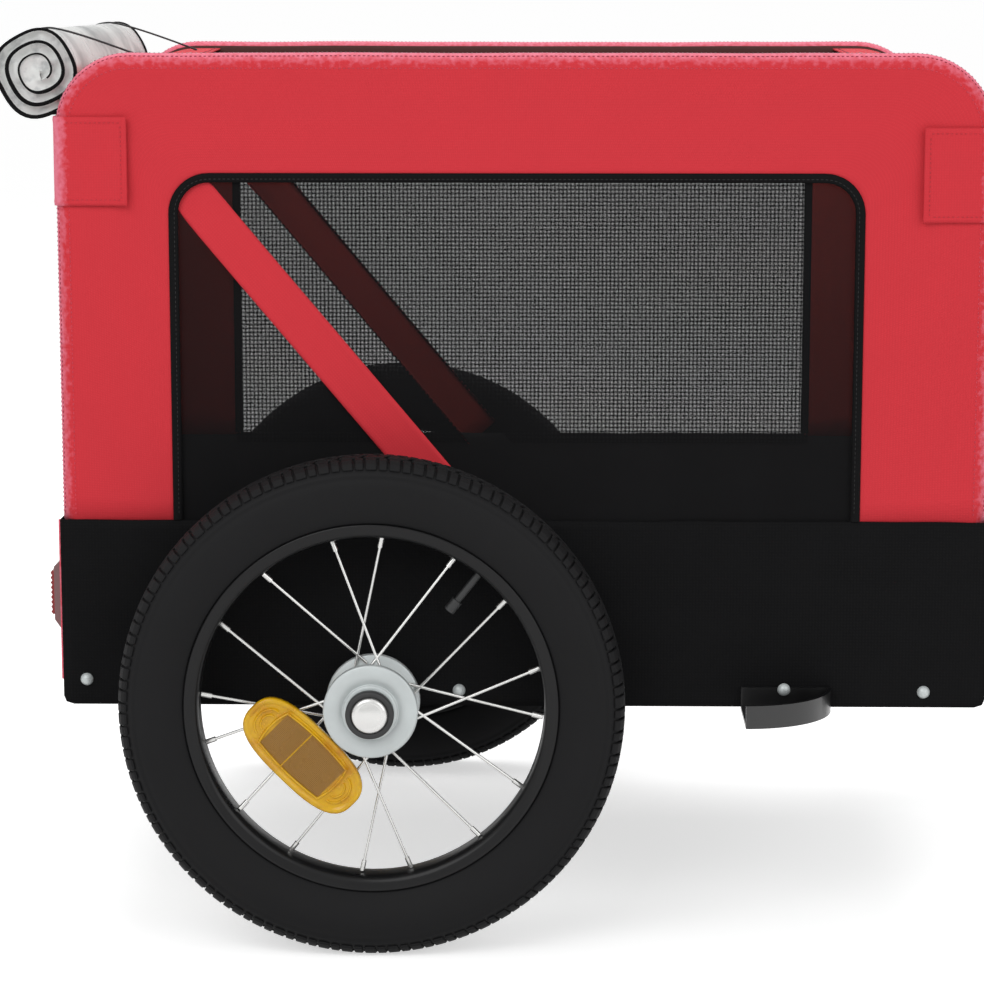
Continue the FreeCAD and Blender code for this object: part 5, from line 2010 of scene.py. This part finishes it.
@dataclass
class Studio:
    """Pale floor, soft lamps, white surroundings and the camera."""

    eye: tuple[float, float, float] = (-0.2345, -2.3256, 0.666)
    pitch: float = 9.375
    yaw: float = 1.06
    lens: float = 112.4
    sensor: float = 36.0
    floor_half: float = 300.0
    floor_tone: Colour = (0.86, 0.86, 0.86, 1.0)
    floor_rough: float = 0.9
    floor_glow: float = 0.56
    white: Colour = (1.0, 1.0, 1.0, 1.0)
    daylight: float = 0.5
    lamps: tuple[Lamp, ...] = (Lamp("key", (-1.6, -2.6, 2.4), 2.2, 38.0),
                               Lamp("fill", (1.9, -2.4, 1.6), 2.2, 21.0),
                               Lamp("top", (-0.2, 0.9, 2.9), 2.4, 34.0))

    def build_camera(self) -> None:
        """Camera at the photograph's place, with its lens."""
        data = bpy.data.cameras.new("camera")
        data.sensor_width = self.sensor
        data.lens = self.lens
        data.clip_end = 2 * self.floor_half
        camera = add_object("camera", data)
        camera.location = self.eye
        camera.rotation_euler = (math.radians(90 - self.pitch), 0, math.radians(self.yaw))
        bpy.context.scene.camera = camera

    def seen_share(self, tree: bpy.types.NodeTree) -> Socket:
        """1 for rays from the camera, from shiny pieces and through clear ones, else 0.

        Args:
            tree: The material's or world's nodes.

        Returns:
            The share.
        """
        path = tree.nodes.new("ShaderNodeLightPath")
        share = path.outputs["Is Camera Ray"]
        for ray in ("Is Glossy Ray", "Is Transmission Ray"):
            most = tree.nodes.new("ShaderNodeMath")
            most.operation = "MAXIMUM"
            tree.links.new(share, most.inputs[0])
            tree.links.new(path.outputs[ray], most.inputs[1])
            share = most.outputs[0]
        return share

    def build_world(self) -> None:
        """Even white light, seen as white."""
        world = bpy.data.worlds.new("surroundings")
        bpy.context.scene.world = world
        world.use_nodes = True
        tree = world.node_tree
        light = tree.nodes["Background"]
        light.inputs["Strength"].default_value = self.daylight
        seen = tree.nodes.new("ShaderNodeBackground")
        choose = tree.nodes.new("ShaderNodeMixShader")
        tree.links.new(self.seen_share(tree), choose.inputs[0])
        for slot, background in enumerate((light, seen), 1):
            background.inputs["Color"].default_value = self.white
            tree.links.new(background.outputs[0], choose.inputs[slot])
        tree.links.new(choose.outputs[0], tree.nodes["World Output"].inputs["Surface"])

    def floor_material(self) -> bpy.types.Material:
        """Dull pale surface that glows where it is seen, so that only the shadow stands out on it."""
        material = bpy.data.materials.new("pale_floor")
        material.use_nodes = True
        tree = material.node_tree
        base = tree.nodes["Principled BSDF"]
        base.inputs["Base Color"].default_value = self.floor_tone
        base.inputs["Roughness"].default_value = self.floor_rough
        base.inputs["Specular IOR Level"].default_value = 0.0
        glow = tree.nodes.new("ShaderNodeEmission")
        strength = tree.nodes.new("ShaderNodeMath")
        strength.operation = "MULTIPLY"
        strength.inputs[1].default_value = self.floor_glow
        tree.links.new(self.seen_share(tree), strength.inputs[0])
        tree.links.new(strength.outputs[0], glow.inputs["Strength"])
        both = tree.nodes.new("ShaderNodeAddShader")
        for slot, part in enumerate((base, glow)):
            tree.links.new(part.outputs[0], both.inputs[slot])
        tree.links.new(both.outputs[0], tree.nodes["Material Output"].inputs["Surface"])
        return material

    def build_floor(self) -> None:
        """Wide pale floor that takes the shadow."""
        bm = bmesh.new()
        bmesh.ops.create_grid(bm, x_segments=2, y_segments=2, size=self.floor_half)
        mesh = bpy.data.meshes.new("floor")
        bm.to_mesh(mesh)
        bm.free()
        add_object("floor", mesh)
        mesh.materials.append(self.floor_material())

    def build(self) -> None:
        """Builds the studio."""
        bpy.context.scene.view_settings.view_transform = "Standard"
        self.build_camera()
        self.build_world()
        self.build_floor()
        for lamp in self.lamps:
            lamp.build()


def main() -> None:
    """Builds the studio and every sub-assembly in order."""
    Studio().build()
    cabin = Cabin()
    Hardware().dress()
    for side in Side:
        SideWall(side, cabin).build()
        Wheel(side).build()
    EndPanels(End.REAR, cabin).build()
    EndPanels(End.FRONT, cabin, tab_length=51 * MM).build()
    CoverRoll().build()
    RearReflectors().build()


if __name__ == "__main__":
    main()
